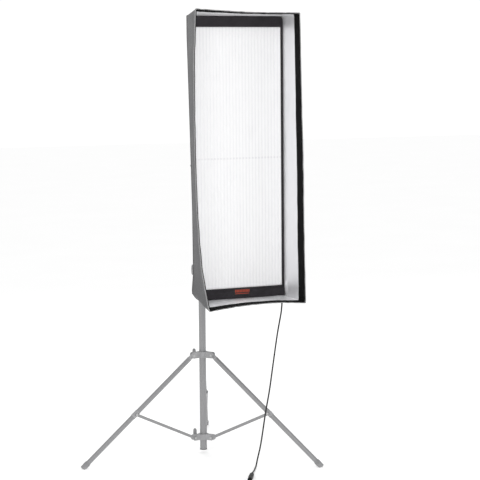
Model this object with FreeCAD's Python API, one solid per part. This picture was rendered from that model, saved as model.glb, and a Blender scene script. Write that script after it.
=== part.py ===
import FreeCAD, Part
import math
import os

# Strip softbox with a flexible LED mat, on a three-legged light stand.
# Millimetres, +Z up, the light faces -Y, the origin is on the floor below the middle of the footprint.

os.makedirs("parts", exist_ok=True)
Vec = FreeCAD.Vector

# ---------------------------------------------------------------- driving dimensions

# where things stand
COLUMN_X, COLUMN_Y = 129.5, -30.5      # axis of the stand's column
HUB_Z = 1389.0                         # tilt axis and middle of the light
SIDE_OFFSET = 60.0                     # middle of the light, to the right of the column
REACH = 270.0                          # column axis to the back of the mat
LIGHT_X = COLUMN_X + SIDE_OFFSET
MAT_Y = COLUMN_Y - REACH               # back face of the mat

# LED mat
MAT_W, MAT_H = 462.0, 1262.0
LIT_W, LIT_H = 440.0, 1166.0           # diffusion cloth inside the black border
BACKING_T, BOARD_T, CLOTH_T = 2.5, 1.2, 1.0

# softbox skirt: starts at the mat's edge and opens towards the rim
RIM_W, RIM_H, BOX_D = 484.0, 1304.0, 190.0
WALL_T = 2.5
BAND_W, BAND_T = 56.0, 1.5             # hook-and-loop band inside the open rim

# The rim is soft. Each list goes along one side of it, as (part of the side, how far the rim strays).
# Upright sides go from bottom to top and stray along X, the others from left to right along Z.
RIM_STRAY = {
    "left": [(0.0, 22.0), (0.14, -8.0), (0.3, -26.0), (0.52, -38.0), (0.83, -38.0), (1.0, -28.0)],
    "right": [(0.0, 8.0), (0.25, 2.0), (0.5, -1.0), (0.7, -7.0), (1.0, -14.0)],
    "bottom": [(0.0, -2.0), (0.35, 13.0), (0.7, 16.0), (1.0, 6.0)],
    "top": [(0.0, 4.0), (0.5, -9.0), (1.0, -11.0)],
}

# telescopic column, every clearance is radial
FIT = 0.10
LOWER_R, LOWER_BORE_R = 16.0, 14.5
MID_R, MID_BORE_R = 14.4, 13.0
TOP_R, TOP_BORE_R = 12.9, 11.4
LOWER_BOTTOM, LOWER_TOP = 20.0, 845.0
MID_BOTTOM, MID_TOP = 500.0, 1125.0
TOP_BOTTOM, TOP_TOP = 700.0, 1285.0
LOCK_SLEEVE, LOCK_CLAMP = 20.0, 29.0   # lock collar below and above the tube's end
LOCK_R_LOWER, LOCK_R_UPPER = 24.0, 22.0

# legs and braces
REAR_AZIMUTH = 65.9                    # direction of the rear leg from +X
LEG_AZIMUTHS = [REAR_AZIMUTH + 120.0 * i for i in range(3)]
KNOB_AZIMUTH = REAR_AZIMUTH + 60.0     # knobs sit between two legs
UPPER_KNOB_AZIMUTH = REAR_AZIMUTH - 60.0
LEG_PIVOT_R, LEG_PIVOT_Z = 52.0, 466.0
FOOT_CIRCLE_R = 624.4                  # where the leg axes meet the floor
BRACE_PIVOT_R, BRACE_PIVOT_Z = 50.0, 78.1
BRACE_ON_LEG = 0.5255                  # brace joint, as a part of the leg's length
LEG_R, LEG_BORE_R = 11.0, 9.6
SADDLE_R = 12.5
BAR_T, BAR_W = 2.5, 13.0
BAR_INNER = SADDLE_R + 0.3             # inner face of a brace bar from the leg's middle plane
PIN_R = 3.0
COLLAR_R = 24.0
LEG_COLLAR_H, BRACE_COLLAR_H = 28.0, 26.0
FOOT_R, FOOT_REACH = 12.8, 40.0         # rubber boot, and how far it reaches up the leg
EAR_IN, EAR_OUT = 6.15, 12.0           # leg collar ear, from the leg's middle plane

# head
ARM_R, ARM_BORE_R = 12.5, 10.5
ROD_R = 4.0
ROD_START, ROD_Y_HUB, ROD_Y_CORNER = 30.0, 24.0, 9.0
CORNER_X, CORNER_Z = 205.0, 585.0      # rod ends, from the middle of the light

# cable
CABLE_R = 3.5
CABLE_POINTS = [                       # route of the cable, from the strain relief to the connector
    (417, -290, 728), (415, -290, 690), (405, -291, 645), (389, -296, 580), (371, -306, 500),
    (352, -317, 415), (331, -331, 325), (307, -340, 235), (289, -348, 150), (272, -358, 82),
    (250, -372, 30), (230, -400, 3.7), (207, -438, 3.7), (184, -478, 3.9), (165, -510, 8.5),
    (147, -541, 11.2),
]
CONNECTOR_DIR = Vec(-0.5, -0.866, 0.0)
CONNECTOR_R, CONNECTOR_L, BOOT_L = 10.5, 92.0, 26.0


# ---------------------------------------------------------------- shape helpers

def save(shape, node):
    shape.exportStep(f"parts/{node}.step")


def rod(start, end, radius):
    """Cylinder from one point to another."""
    line = end - start
    return Part.makeCylinder(radius, line.Length, start, line)


def cone(start, end, r_start, r_end):
    line = end - start
    return Part.makeCone(r_start, r_end, line.Length, start, line)


def post(x, y, z_low, z_high, radius):
    return rod(Vec(x, y, z_low), Vec(x, y, z_high), radius)


def sleeve(x, y, z_low, z_high, r_out, r_in):
    return post(x, y, z_low, z_high, r_out).cut(post(x, y, z_low - 1, z_high + 1, r_in))


def block(x_low, x_high, y_low, y_high, z_low, z_high):
    return Part.makeBox(x_high - x_low, y_high - y_low, z_high - z_low, Vec(x_low, y_low, z_low))


def join(first, *others):
    for other in others:
        first = first.fuse(other)
    return first.removeSplitter()


def around(shape, azimuth):
    """Turn a shape drawn for azimuth 0 at the world axis, and carry it to the column."""
    turned = shape.copy()
    turned.rotate(Vec(0, 0, 0), Vec(0, 0, 1), azimuth)
    turned.translate(Vec(COLUMN_X, COLUMN_Y, 0))
    return turned


def mirrored_pair(shape):
    """The shape and its copy on the other side of the leg's middle plane."""
    return Part.makeCompound([shape, shape.mirror(Vec(0, 0, 0), Vec(0, 1, 0))])


def frame_ring(x_half, z_half, x_hole, z_hole, y_low, y_high):
    """Flat rectangular frame round the middle of the light."""
    outer = block(LIGHT_X - x_half, LIGHT_X + x_half, y_low, y_high, HUB_Z - z_half, HUB_Z + z_half)
    hole = block(LIGHT_X - x_hole, LIGHT_X + x_hole, y_low - 1, y_high + 1, HUB_Z - z_hole, HUB_Z + z_hole)
    return outer.cut(hole)


# ---------------------------------------------------------------- knobs

def wing_knob(tip_r, hub_r, z, wing_up, wing_down):
    """Clamp knob for azimuth 0: screw, hub and a vertical wing, turning about a radial axis."""
    hub_length, wing_t, screw_r = 16.0, 8.0, PIN_R
    screw = rod(Vec(tip_r, 0, z), Vec(hub_r, 0, z), screw_r)
    hub = rod(Vec(hub_r, 0, z), Vec(hub_r + hub_length, 0, z), 8.0)
    wing = block(hub_r + 4, hub_r + hub_length + 4, -wing_t / 2, wing_t / 2, z - wing_down, z + wing_up)
    wing_edges = [edge for edge in wing.Edges if abs(edge.tangentAt(edge.FirstParameter).x) < 0.5
                  and abs(edge.tangentAt(edge.FirstParameter).z) < 0.5]
    return join(screw, hub, wing.makeFillet(3.5, wing_edges))


def knob_boss(collar_r, z):
    """Boss on a collar that takes a knob's screw, and the hole through it, for azimuth 0."""
    boss = rod(Vec(collar_r - 4, 0, z), Vec(collar_r + 9, 0, z), 9.0)
    hole = rod(Vec(0, 0, z), Vec(collar_r + 12, 0, z), PIN_R + FIT)
    return boss, hole


# ---------------------------------------------------------------- telescopic column

def lower_tube():
    return sleeve(COLUMN_X, COLUMN_Y, LOWER_BOTTOM, LOWER_TOP, LOWER_R, LOWER_BORE_R)


def tube_end_cap():
    flange = post(COLUMN_X, COLUMN_Y, LOWER_BOTTOM - 3, LOWER_BOTTOM, LOWER_R + 1)
    plug = post(COLUMN_X, COLUMN_Y, LOWER_BOTTOM, LOWER_BOTTOM + 22, LOWER_BORE_R - FIT)
    return join(flange, plug)


def mast_lock(tube_end, tube_r, inner_r, collar_r, knob_z, azimuth):
    """Clamp collar on the end of a tube, with a boss for its knob."""
    collar = post(0, 0, tube_end - LOCK_SLEEVE, tube_end + LOCK_CLAMP, collar_r)
    collar = collar.makeFillet(2.0, [edge for edge in collar.Edges if edge.Length > 2 * math.pi * collar_r - 1])
    boss, hole = knob_boss(collar_r, knob_z)
    collar = join(collar, boss)
    collar = collar.cut(post(0, 0, tube_end - LOCK_SLEEVE - 1, tube_end, tube_r + FIT / 2))
    collar = collar.cut(post(0, 0, tube_end - 1, tube_end + LOCK_CLAMP + 1, inner_r + FIT))
    return around(collar.cut(hole), azimuth)


def mid_tube():
    return sleeve(COLUMN_X, COLUMN_Y, MID_BOTTOM, MID_TOP, MID_R, MID_BORE_R)


def top_tube():
    return sleeve(COLUMN_X, COLUMN_Y, TOP_BOTTOM, TOP_TOP, TOP_R, TOP_BORE_R)


SPIGOT_FLANGE = 8.0
SPIGOT_R, SPIGOT_L = 7.95, 48.0
SPIGOT_FOOT = TOP_TOP + SPIGOT_FLANGE


def spigot():
    """Plug in the top tube, a flange, and the 16 mm stud with its waist."""
    plug = post(COLUMN_X, COLUMN_Y, TOP_TOP - 20, TOP_TOP, TOP_BORE_R - FIT)
    flange = post(COLUMN_X, COLUMN_Y, TOP_TOP, SPIGOT_FOOT, 14.0)
    stud = post(COLUMN_X, COLUMN_Y, SPIGOT_FOOT, SPIGOT_FOOT + SPIGOT_L, SPIGOT_R)
    waist = sleeve(COLUMN_X, COLUMN_Y, SPIGOT_FOOT + 15, SPIGOT_FOOT + 29, SPIGOT_R + 2, 6.0)
    return join(plug, flange, stud).cut(waist)


# ---------------------------------------------------------------- leg collar, brace collar

def leg_collar():
    """Ring that slides on the lower tube, with three pairs of ears for the legs."""
    z_low, z_high = LEG_PIVOT_Z - LEG_COLLAR_H / 2, LEG_PIVOT_Z + LEG_COLLAR_H / 2
    ring = post(0, 0, z_low, z_high, COLLAR_R)
    outer = LEG_PIVOT_R + 9
    profile = [(18, z_low), (outer - 6, z_low), (outer, z_low + 6), (outer, z_high - 6), (outer - 6, z_high),
               (18, z_high), (18, z_low)]
    face = Part.Face(Part.makePolygon([Vec(x, EAR_IN, z) for x, z in profile]))
    ear = face.extrude(Vec(0, EAR_OUT - EAR_IN, 0))
    ears = mirrored_pair(ear)
    pin_hole = rod(Vec(LEG_PIVOT_R, -20, LEG_PIVOT_Z), Vec(LEG_PIVOT_R, 20, LEG_PIVOT_Z), PIN_R + FIT / 2)
    boss, knob_hole = knob_boss(COLLAR_R, LEG_PIVOT_Z)
    boss.rotate(Vec(0, 0, 0), Vec(0, 0, 1), 60)
    knob_hole.rotate(Vec(0, 0, 0), Vec(0, 0, 1), 60)
    body = join(ring, boss)
    for turn in (0, 120, 240):
        for solid in ears.Solids:
            turned = solid.copy()
            turned.rotate(Vec(0, 0, 0), Vec(0, 0, 1), turn)
            body = body.fuse(turned)
    for turn in (0, 120, 240):
        hole = pin_hole.copy()
        hole.rotate(Vec(0, 0, 0), Vec(0, 0, 1), turn)
        body = body.cut(hole)
    body = body.cut(knob_hole).cut(post(0, 0, z_low - 1, z_high + 1, LOWER_R + FIT))
    return around(body.removeSplitter(), REAR_AZIMUTH)


def lower_collar():
    """Fixed ring near the foot of the column, with a solid lug for each pair of brace bars."""
    z_low = BRACE_PIVOT_Z - BRACE_COLLAR_H / 2
    z_high = z_low + BRACE_COLLAR_H
    body = post(0, 0, z_low, z_high, COLLAR_R)
    boss, knob_hole = knob_boss(COLLAR_R, BRACE_PIVOT_Z)
    for piece in (boss, knob_hole):
        piece.rotate(Vec(0, 0, 0), Vec(0, 0, 1), 60)
    body = body.fuse(boss)
    for turn in (0, 120, 240):
        lug = block(18, BRACE_PIVOT_R + 9, -SADDLE_R, SADDLE_R, z_low, z_high)
        end_edges = [edge for edge in lug.Edges if edge.CenterOfMass.x > BRACE_PIVOT_R + 8
                     and abs(edge.CenterOfMass.y) < 1]
        lug = lug.makeChamfer(6.0, end_edges)
        lug = lug.cut(rod(Vec(BRACE_PIVOT_R, -20, BRACE_PIVOT_Z), Vec(BRACE_PIVOT_R, 20, BRACE_PIVOT_Z),
                          PIN_R + FIT / 2))
        lug.rotate(Vec(0, 0, 0), Vec(0, 0, 1), turn)
        body = body.fuse(lug)
    body = body.cut(knob_hole).cut(post(0, 0, z_low - 1, z_high + 1, LOWER_R + FIT / 2))
    return around(body.removeSplitter(), REAR_AZIMUTH)


def pivot_pins(radius, z, half_width):
    """Three headed pins, one for each leg or brace."""
    pin = rod(Vec(radius, -half_width, z), Vec(radius, half_width, z), PIN_R)
    heads = mirrored_pair(rod(Vec(radius, half_width, z), Vec(radius, half_width + 2.2, z), 5.5))
    whole = join(pin, *heads.Solids)
    return Part.makeCompound([around(whole, azimuth) for azimuth in LEG_AZIMUTHS])


# ---------------------------------------------------------------- legs and braces, drawn for azimuth 0

LEG_TOP = Vec(LEG_PIVOT_R, 0, LEG_PIVOT_Z)
LEG_FOOT = Vec(FOOT_CIRCLE_R, 0, 0)
LEG_LINE = LEG_FOOT - LEG_TOP
LEG_L = LEG_LINE.Length
LEG_DIR = LEG_LINE * (1 / LEG_L)
BRACE_JOINT = LEG_TOP + LEG_LINE * BRACE_ON_LEG
BRACE_FOOT = Vec(BRACE_PIVOT_R, 0, BRACE_PIVOT_Z)
TUBE_START, TUBE_END = 26.0, LEG_L - 18.0


def on_leg(distance):
    return LEG_TOP + LEG_DIR * distance


def flat_bar(start, end, width, y_low, y_high):
    """Flat link with round ends, between two pivots in the leg's plane."""
    axis = end - start
    side = Vec(axis.z, 0, -axis.x) * (width / 2 / axis.Length)
    corners = [start + side, end + side, end - side, start - side, start + side]
    lift = Vec(0, y_low, 0)
    plate = Part.Face(Part.makePolygon([corner + lift for corner in corners]))
    solid = plate.extrude(Vec(0, y_high - y_low, 0))
    for centre in (start, end):
        solid = solid.fuse(rod(centre + lift, centre + Vec(0, y_high, 0), width / 2))
    return solid.removeSplitter()


def leg_head():
    """Tongue between the collar's ears, and the plug that carries the leg tube."""
    tongue = flat_bar(LEG_TOP, on_leg(TUBE_START), 16.0, -6.0, 6.0)
    flange = rod(on_leg(TUBE_START - 4), on_leg(TUBE_START), LEG_R)
    plug = rod(on_leg(TUBE_START), on_leg(TUBE_START + 34), LEG_BORE_R - FIT)
    tongue = tongue.common(rod(on_leg(-20), on_leg(TUBE_START), 14))
    pin_hole = rod(LEG_TOP - Vec(0, 20, 0), LEG_TOP + Vec(0, 20, 0), PIN_R + FIT)
    return join(tongue, flange, plug).cut(pin_hole)


def leg_tube():
    return rod(on_leg(TUBE_START), on_leg(TUBE_END), LEG_R).cut(
        rod(on_leg(TUBE_START - 1), on_leg(TUBE_END + 1), LEG_BORE_R))


def foot():
    """Rubber boot on the leg's end, flat where it stands on the floor."""
    boot = rod(on_leg(LEG_L - FOOT_REACH), on_leg(LEG_L - 4), FOOT_R)
    boot = boot.cut(rod(on_leg(LEG_L - FOOT_REACH - 2), on_leg(TUBE_END), LEG_R))
    floor = block(0, 900, -50, 50, -60, 0)
    return boot.cut(floor)


BRACE_AT = LEG_L * BRACE_ON_LEG


def leg_saddle():
    """Sleeve round the leg where the brace bars meet it."""
    return rod(on_leg(BRACE_AT - 18), on_leg(BRACE_AT + 18), SADDLE_R).cut(
        rod(on_leg(BRACE_AT - 20), on_leg(BRACE_AT + 20), LEG_R))


def brace_bars():
    bar = flat_bar(BRACE_FOOT, BRACE_JOINT, BAR_W, BAR_INNER, BAR_INNER + BAR_T)
    hole = rod(BRACE_FOOT - Vec(0, 20, 0), BRACE_FOOT + Vec(0, 20, 0), PIN_R + FIT)
    return mirrored_pair(bar.cut(hole))


def brace_rivets():
    outer = BAR_INNER + BAR_T
    start = BRACE_JOINT + Vec(0, outer, 0)
    return mirrored_pair(rod(start, start + Vec(0, 2.2, 0), 6.0))


# ---------------------------------------------------------------- swivel and tilt joint

RECEIVER_HALF = 20.0
EAR_RIGHT = COLUMN_X + 10
DISC_T, DISC_GAP, DISC_R = 3.0, 0.3, 21.0
BOLT_R = 5.0
RECEIVER_TOP = 1345.0
UMBRELLA_X, UMBRELLA_Z, UMBRELLA_R = COLUMN_X - 5, 1358.0, 4.25
TILT_LEFT = EAR_RIGHT + DISC_T + DISC_GAP
LEVER_HUB = 10.0
GRUB_Z = SPIGOT_FOOT + 22


def along_x(x_low, x_high, z, radius):
    return rod(Vec(x_low, COLUMN_Y, z), Vec(x_high, COLUMN_Y, z), radius)


def receiver():
    """Socket for the spigot, with the tilt joint's fixed ear and disc, and an umbrella hole."""
    left = COLUMN_X - RECEIVER_HALF
    socket = block(left, COLUMN_X + RECEIVER_HALF, COLUMN_Y - 19, COLUMN_Y + 19,
                   SPIGOT_FOOT + 0.3, RECEIVER_TOP)
    upright = [edge for edge in socket.Edges if abs(edge.tangentAt(edge.FirstParameter).z) > 0.9]
    socket = socket.makeFillet(5.0, upright)
    ear = block(left, EAR_RIGHT, COLUMN_Y - 19, COLUMN_Y + 19, RECEIVER_TOP, HUB_Z)
    head = along_x(left, EAR_RIGHT, HUB_Z, 19.0)
    disc = along_x(EAR_RIGHT, EAR_RIGHT + DISC_T, HUB_Z, DISC_R)
    boss = rod(Vec(COLUMN_X, COLUMN_Y + 15, GRUB_Z), Vec(COLUMN_X, COLUMN_Y + 26, GRUB_Z), 9.0)
    whole = join(socket, ear, head, disc, boss)
    whole = whole.cut(post(COLUMN_X, COLUMN_Y, SPIGOT_FOOT - 5, SPIGOT_FOOT + SPIGOT_L + 0.5, SPIGOT_R + FIT))
    whole = whole.cut(along_x(left - 5, EAR_RIGHT + 9, HUB_Z, BOLT_R + FIT / 2))
    whole = whole.cut(rod(Vec(UMBRELLA_X, COLUMN_Y - 30, UMBRELLA_Z), Vec(UMBRELLA_X, COLUMN_Y + 30, UMBRELLA_Z),
                          UMBRELLA_R))
    return whole.cut(rod(Vec(COLUMN_X, COLUMN_Y, GRUB_Z), Vec(COLUMN_X, COLUMN_Y + 40, GRUB_Z), PIN_R + FIT))


def spigot_knob():
    """Wing knob that clamps the receiver on the spigot's waist."""
    knob = wing_knob(6.5, 26.3, GRUB_Z, 17.0, 17.0)
    return around(knob, 90.0)


def tilt_bolt():
    left = COLUMN_X - RECEIVER_HALF - LEVER_HUB
    shank = along_x(left - 1, COLUMN_X + 40, HUB_Z, BOLT_R)
    head = along_x(left - 7, left - 1, HUB_Z, 8.0)
    return join(shank, head)


def tilt_lever():
    """Clamping lever on the bolt, left of the receiver, pointing down and back."""
    right = COLUMN_X - RECEIVER_HALF - 0.3
    hub = along_x(right - LEVER_HUB, right, HUB_Z, 12.0)
    start = Vec(right - LEVER_HUB / 2, COLUMN_Y, HUB_Z)
    end = start + Vec(-2, 40, -46)
    arm = cone(start, end, 5.0, 6.5)
    grip = Part.makeSphere(6.5, end)
    return join(hub, arm, grip).cut(along_x(right - 30, right + 5, HUB_Z, BOLT_R + FIT))


def tilt_block():
    """Moving half of the tilt joint: toothed disc, barrel and the socket of the arm."""
    disc = along_x(TILT_LEFT, TILT_LEFT + DISC_T, HUB_Z, DISC_R)
    barrel = along_x(TILT_LEFT + DISC_T, LIGHT_X + 22, HUB_Z, 19.0)
    socket = rod(Vec(LIGHT_X, COLUMN_Y, HUB_Z), Vec(LIGHT_X, COLUMN_Y - 45, HUB_Z), 17.0)
    whole = join(disc, barrel, socket)
    whole = whole.cut(along_x(TILT_LEFT - 5, COLUMN_X + 45, HUB_Z, BOLT_R + FIT))
    return whole.cut(rod(Vec(LIGHT_X, COLUMN_Y - 12, HUB_Z), Vec(LIGHT_X, COLUMN_Y - 60, HUB_Z), ARM_R + FIT / 2))


# ---------------------------------------------------------------- holder behind the mat

def head_arm():
    start, end = Vec(LIGHT_X, COLUMN_Y - 12, HUB_Z), Vec(LIGHT_X, MAT_Y + 50, HUB_Z)
    return rod(start, end, ARM_R).cut(rod(start, end, ARM_BORE_R))


def hub_plate():
    """Round plate behind the mat, with the boss that takes the arm."""
    plate = rod(Vec(LIGHT_X, MAT_Y + 40, HUB_Z), Vec(LIGHT_X, MAT_Y + 32, HUB_Z), 58.0)
    boss = rod(Vec(LIGHT_X, MAT_Y + 40, HUB_Z), Vec(LIGHT_X, MAT_Y + 75, HUB_Z), 19.0)
    bore = rod(Vec(LIGHT_X, MAT_Y + 50, HUB_Z), Vec(LIGHT_X, MAT_Y + 76, HUB_Z), ARM_R + FIT / 2)
    return join(plate, boss).cut(bore)


def rod_line(side_x, side_z):
    """Start at the hub and end in the corner pocket, for one support rod."""
    reach = Vec(side_x * CORNER_X, 0, side_z * CORNER_Z)
    start = reach * (ROD_START / reach.Length)
    centre = Vec(LIGHT_X, MAT_Y, HUB_Z)
    return centre + start + Vec(0, ROD_Y_HUB, 0), centre + reach + Vec(0, ROD_Y_CORNER, 0)


CORNERS = [(-1, 1), (1, 1), (-1, -1), (1, -1)]


def support_rod(side_x, side_z):
    start, end = rod_line(side_x, side_z)
    return rod(start, end, ROD_R)


def rod_sockets():
    """Four tubes under the hub plate that hold the rods."""
    sockets = []
    for side_x, side_z in CORNERS:
        start, end = rod_line(side_x, side_z)
        step = (end - start) * (1 / (end - start).Length)
        tube = rod(start, start + step * 40, 8.0)
        foot_block = Part.makeBox(28, 8, 12, Vec(0, 0, -6))
        foot_block.rotate(Vec(0, 0, 0), Vec(0, 1, 0), -math.degrees(math.atan2(step.z, step.x)))
        foot_block.translate(start)
        sockets.append(join(tube, foot_block).cut(rod(start - step * 2, end, ROD_R)))
    return Part.makeCompound(sockets)


def corner_pockets():
    pockets = []
    for side_x, side_z in CORNERS:
        start, end = rod_line(side_x, side_z)
        pocket = block(end.x - 17, end.x + 17, MAT_Y, MAT_Y + 16, end.z - 17, end.z + 17)
        edges = [edge for edge in pocket.Edges if abs(edge.tangentAt(edge.FirstParameter).y) > 0.9]
        pocket = pocket.makeFillet(6.0, edges)
        pockets.append(pocket.cut(rod(start, end, ROD_R)))
    return Part.makeCompound(pockets)


# ---------------------------------------------------------------- LED mat

BACKING_FRONT = MAT_Y - BACKING_T
BOARD_FRONT = BACKING_FRONT - BOARD_T


def sheet(width, height, y_front, y_back):
    return block(LIGHT_X - width / 2, LIGHT_X + width / 2, y_front, y_back,
                 HUB_Z - height / 2, HUB_Z + height / 2)


def mat_backing():
    return sheet(MAT_W, MAT_H, BACKING_FRONT, MAT_Y)


def led_board():
    return sheet(LIT_W, LIT_H, BOARD_FRONT, BACKING_FRONT)


def diffusion_cloth():
    return sheet(LIT_W, LIT_H, BOARD_FRONT - CLOTH_T, BOARD_FRONT)


def mat_border():
    return frame_ring(MAT_W / 2, MAT_H / 2, LIT_W / 2, LIT_H / 2, BOARD_FRONT - CLOTH_T, BACKING_FRONT)


# ---------------------------------------------------------------- softbox skirt

RIM_Y = MAT_Y - BOX_D


def stray(side, along):
    """How far the rim strays at a part of a side, in line between the listed points."""
    points = RIM_STRAY[side]
    for (a, at_a), (b, at_b) in zip(points, points[1:]):
        if along <= b:
            return at_a + (at_b - at_a) * (along - a) / (b - a)
    return points[-1][1]


def skirt_point(side, along, depth, inset, end_gap):
    """Point on a wall: along its side, depth 0 at the mat and 1 at the rim, inset from the outer face.

    The top and bottom run between the upright sides, end_gap inside their outer faces.
    """
    sign = 1 if side in ("right", "top") else -1
    y = BACKING_FRONT + (RIM_Y - BACKING_FRONT) * depth
    half_w = MAT_W / 2 + WALL_T + (RIM_W / 2 - MAT_W / 2 - WALL_T) * depth
    half_h = MAT_H / 2 + WALL_T + (RIM_H / 2 - MAT_H / 2 - WALL_T) * depth
    if side in ("left", "right"):
        corner = 0.0 if side == "left" else 1.0
        lift = stray("bottom", corner) * max(0.0, 1 - along * 8) + stray("top", corner) * max(0.0, along * 8 - 7)
        x = LIGHT_X + sign * (half_w - inset) + stray(side, along) * depth
        return Vec(x, y, HUB_Z + (2 * along - 1) * half_h + lift * depth)
    corner = 0.0 if side == "bottom" else 1.0
    low = LIGHT_X - half_w + end_gap + stray("left", corner) * depth
    high = LIGHT_X + half_w - end_gap + stray("right", corner) * depth
    return Vec(low + (high - low) * along, y, HUB_Z + sign * (half_h - inset) + stray(side, along) * depth)


def skirt_strip(side, depth_back, inset, thickness):
    """Strip of a wall from one depth to the rim, through one section at each listed point of its side."""
    end_gap = inset + thickness
    sections = []
    for along in sorted({point for point, _ in RIM_STRAY[side]} | {0.125, 0.875}):
        corners = [skirt_point(side, along, depth, at_inset, end_gap)
                   for depth, at_inset in ((depth_back, inset), (1.0, inset), (1.0, end_gap), (depth_back, end_gap))]
        sections.append(Part.makePolygon(corners + corners[:1]))
    return Part.makeLoft(sections, True, True)


def skirt_flange():
    """Back lip of the skirt that fastens round the mat's edge."""
    half_w, half_h = MAT_W / 2, MAT_H / 2
    return frame_ring(half_w + WALL_T, half_h + WALL_T, half_w, half_h, BACKING_FRONT, MAT_Y)


def rim_band():
    start = 1 - BAND_W / (BACKING_FRONT - RIM_Y)
    return Part.makeCompound([skirt_strip(side, start, WALL_T, BAND_T) for side in RIM_STRAY])


# ---------------------------------------------------------------- cable

def cable_gland():
    """Junction box on the mat's lower corner, with a tapered strain relief pointing down."""
    exit_point = Vec(*CABLE_POINTS[0])
    box_low = exit_point.z + 30
    box = block(exit_point.x - 14, exit_point.x + 12, MAT_Y, MAT_Y + 20, box_low, box_low + 26)
    relief = cone(Vec(exit_point.x, exit_point.y, box_low), exit_point + Vec(0, 0, 0.3), 7.0, CABLE_R + 1.0)
    return join(box, relief)


def cable():
    """Round cable along straight runs joined by tangent arcs, each as large as its runs allow."""
    points = [Vec(*point) for point in CABLE_POINTS]
    edges = []
    start = points[0]
    for before, corner, after in zip(points, points[1:], points[2:]):
        run_in, run_out = before - corner, after - corner
        half_turn = (math.pi - run_in.getAngle(run_out)) / 2
        reach = 0.45 * min(run_in.Length, run_out.Length)
        radius = reach / math.tan(half_turn)
        arc_in = corner + run_in * (reach / run_in.Length)
        arc_out = corner + run_out * (reach / run_out.Length)
        bisector = run_in * (1 / run_in.Length) + run_out * (1 / run_out.Length)
        centre = corner + bisector * (radius / math.cos(half_turn) / bisector.Length)
        middle = centre + (corner - centre) * (radius / (corner - centre).Length)
        edges.append(Part.LineSegment(start, arc_in).toShape())
        edges.append(Part.Arc(arc_in, middle, arc_out).toShape())
        start = arc_out
        print("cable bend radius", round(radius, 1))
    edges.append(Part.LineSegment(start, points[-1]).toShape())
    path = Part.Wire(edges)
    section = Part.Wire(Part.makeCircle(CABLE_R, points[0], points[1] - points[0]))
    tube = path.makePipeShell([section], True, False)
    expected = math.pi * CABLE_R ** 2 * path.Length
    print("cable length", round(path.Length, 1), "volume ratio", round(tube.Volume / expected, 4))
    return tube


def cable_connector():
    """Inline barrel connector with a tapered boot, lying on the floor."""
    start = Vec(*CABLE_POINTS[-1])
    neck = start + CONNECTOR_DIR * BOOT_L
    end = neck + CONNECTOR_DIR * CONNECTOR_L
    boot = cone(start, neck, CABLE_R + 1.0, CONNECTOR_R - 2.5)
    barrel = rod(neck, end, CONNECTOR_R)
    ring = rod(neck + CONNECTOR_DIR * 30, neck + CONNECTOR_DIR * 52, CONNECTOR_R + 0.6)
    socket = rod(end - CONNECTOR_DIR * 12, end + CONNECTOR_DIR, CONNECTOR_R - 2.5)
    return join(boot, barrel, ring).cut(socket)


# ---------------------------------------------------------------- write the nodes

save(lower_tube(), "lower_tube")
save(tube_end_cap(), "tube_end_cap")
save(lower_collar(), "lower_collar")
save(pivot_pins(BRACE_PIVOT_R, BRACE_PIVOT_Z, BAR_INNER + BAR_T + 0.3), "brace_pivot_pins")
save(leg_collar(), "leg_collar")
save(pivot_pins(LEG_PIVOT_R, LEG_PIVOT_Z, EAR_OUT), "leg_pivot_pins")

KNOB_TIP_GAP, KNOB_HUB = 0.3, COLLAR_R + 9.3
LOCK_Z_LOWER, LOCK_Z_UPPER = LOWER_TOP + 15, MID_TOP + 15
save(around(wing_knob(LOWER_R + KNOB_TIP_GAP, KNOB_HUB, LEG_PIVOT_Z, 24, 24), KNOB_AZIMUTH), "leg_knob")
save(around(wing_knob(LOWER_R + KNOB_TIP_GAP, KNOB_HUB, BRACE_PIVOT_Z, 33, 10), KNOB_AZIMUTH), "lower_knob")

save(mast_lock(LOWER_TOP, LOWER_R, MID_R, LOCK_R_LOWER, LOCK_Z_LOWER, KNOB_AZIMUTH), "mast_lock_lower")
save(around(wing_knob(MID_R + KNOB_TIP_GAP, LOCK_R_LOWER + 9.3, LOCK_Z_LOWER, 24, 24), KNOB_AZIMUTH),
     "mast_knob_lower")
save(mid_tube(), "mid_tube")
save(mast_lock(MID_TOP, MID_R, TOP_R, LOCK_R_UPPER, LOCK_Z_UPPER, UPPER_KNOB_AZIMUTH), "mast_lock_upper")
save(around(wing_knob(TOP_R + KNOB_TIP_GAP, LOCK_R_UPPER + 9.3, LOCK_Z_UPPER, 24, 24), UPPER_KNOB_AZIMUTH),
     "mast_knob_upper")
save(top_tube(), "top_tube")
save(spigot(), "spigot")

for number, azimuth in enumerate(LEG_AZIMUTHS, start=1):
    save(around(leg_head(), azimuth), f"leg_head_{number}")
    save(around(leg_tube(), azimuth), f"leg_tube_{number}")
    save(around(leg_saddle(), azimuth), f"leg_saddle_{number}")
    save(around(foot(), azimuth), f"foot_{number}")
    save(around(brace_bars(), azimuth), f"brace_bars_{number}")
    save(around(brace_rivets(), azimuth), f"brace_rivets_{number}")

save(receiver(), "receiver")
save(spigot_knob(), "spigot_knob")
save(tilt_bolt(), "tilt_bolt")
save(tilt_lever(), "tilt_lever")
save(tilt_block(), "tilt_block")
save(head_arm(), "head_arm")
save(hub_plate(), "hub_plate")
save(rod_sockets(), "rod_sockets")
for number, (side_x, side_z) in enumerate(CORNERS, start=1):
    save(support_rod(side_x, side_z), f"support_rod_{number}")
save(corner_pockets(), "corner_pockets")

save(mat_backing(), "mat_backing")
save(led_board(), "led_board")
save(diffusion_cloth(), "diffusion_cloth")
save(mat_border(), "mat_border")
for side in RIM_STRAY:
    save(skirt_strip(side, 0.0, 0.0, WALL_T), f"skirt_{side}")
save(skirt_flange(), "skirt_flange")
save(rim_band(), "rim_band")

save(cable_gland(), "cable_gland")
save(cable(), "cable")
save(cable_connector(), "cable_connector")
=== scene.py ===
import math

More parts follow.
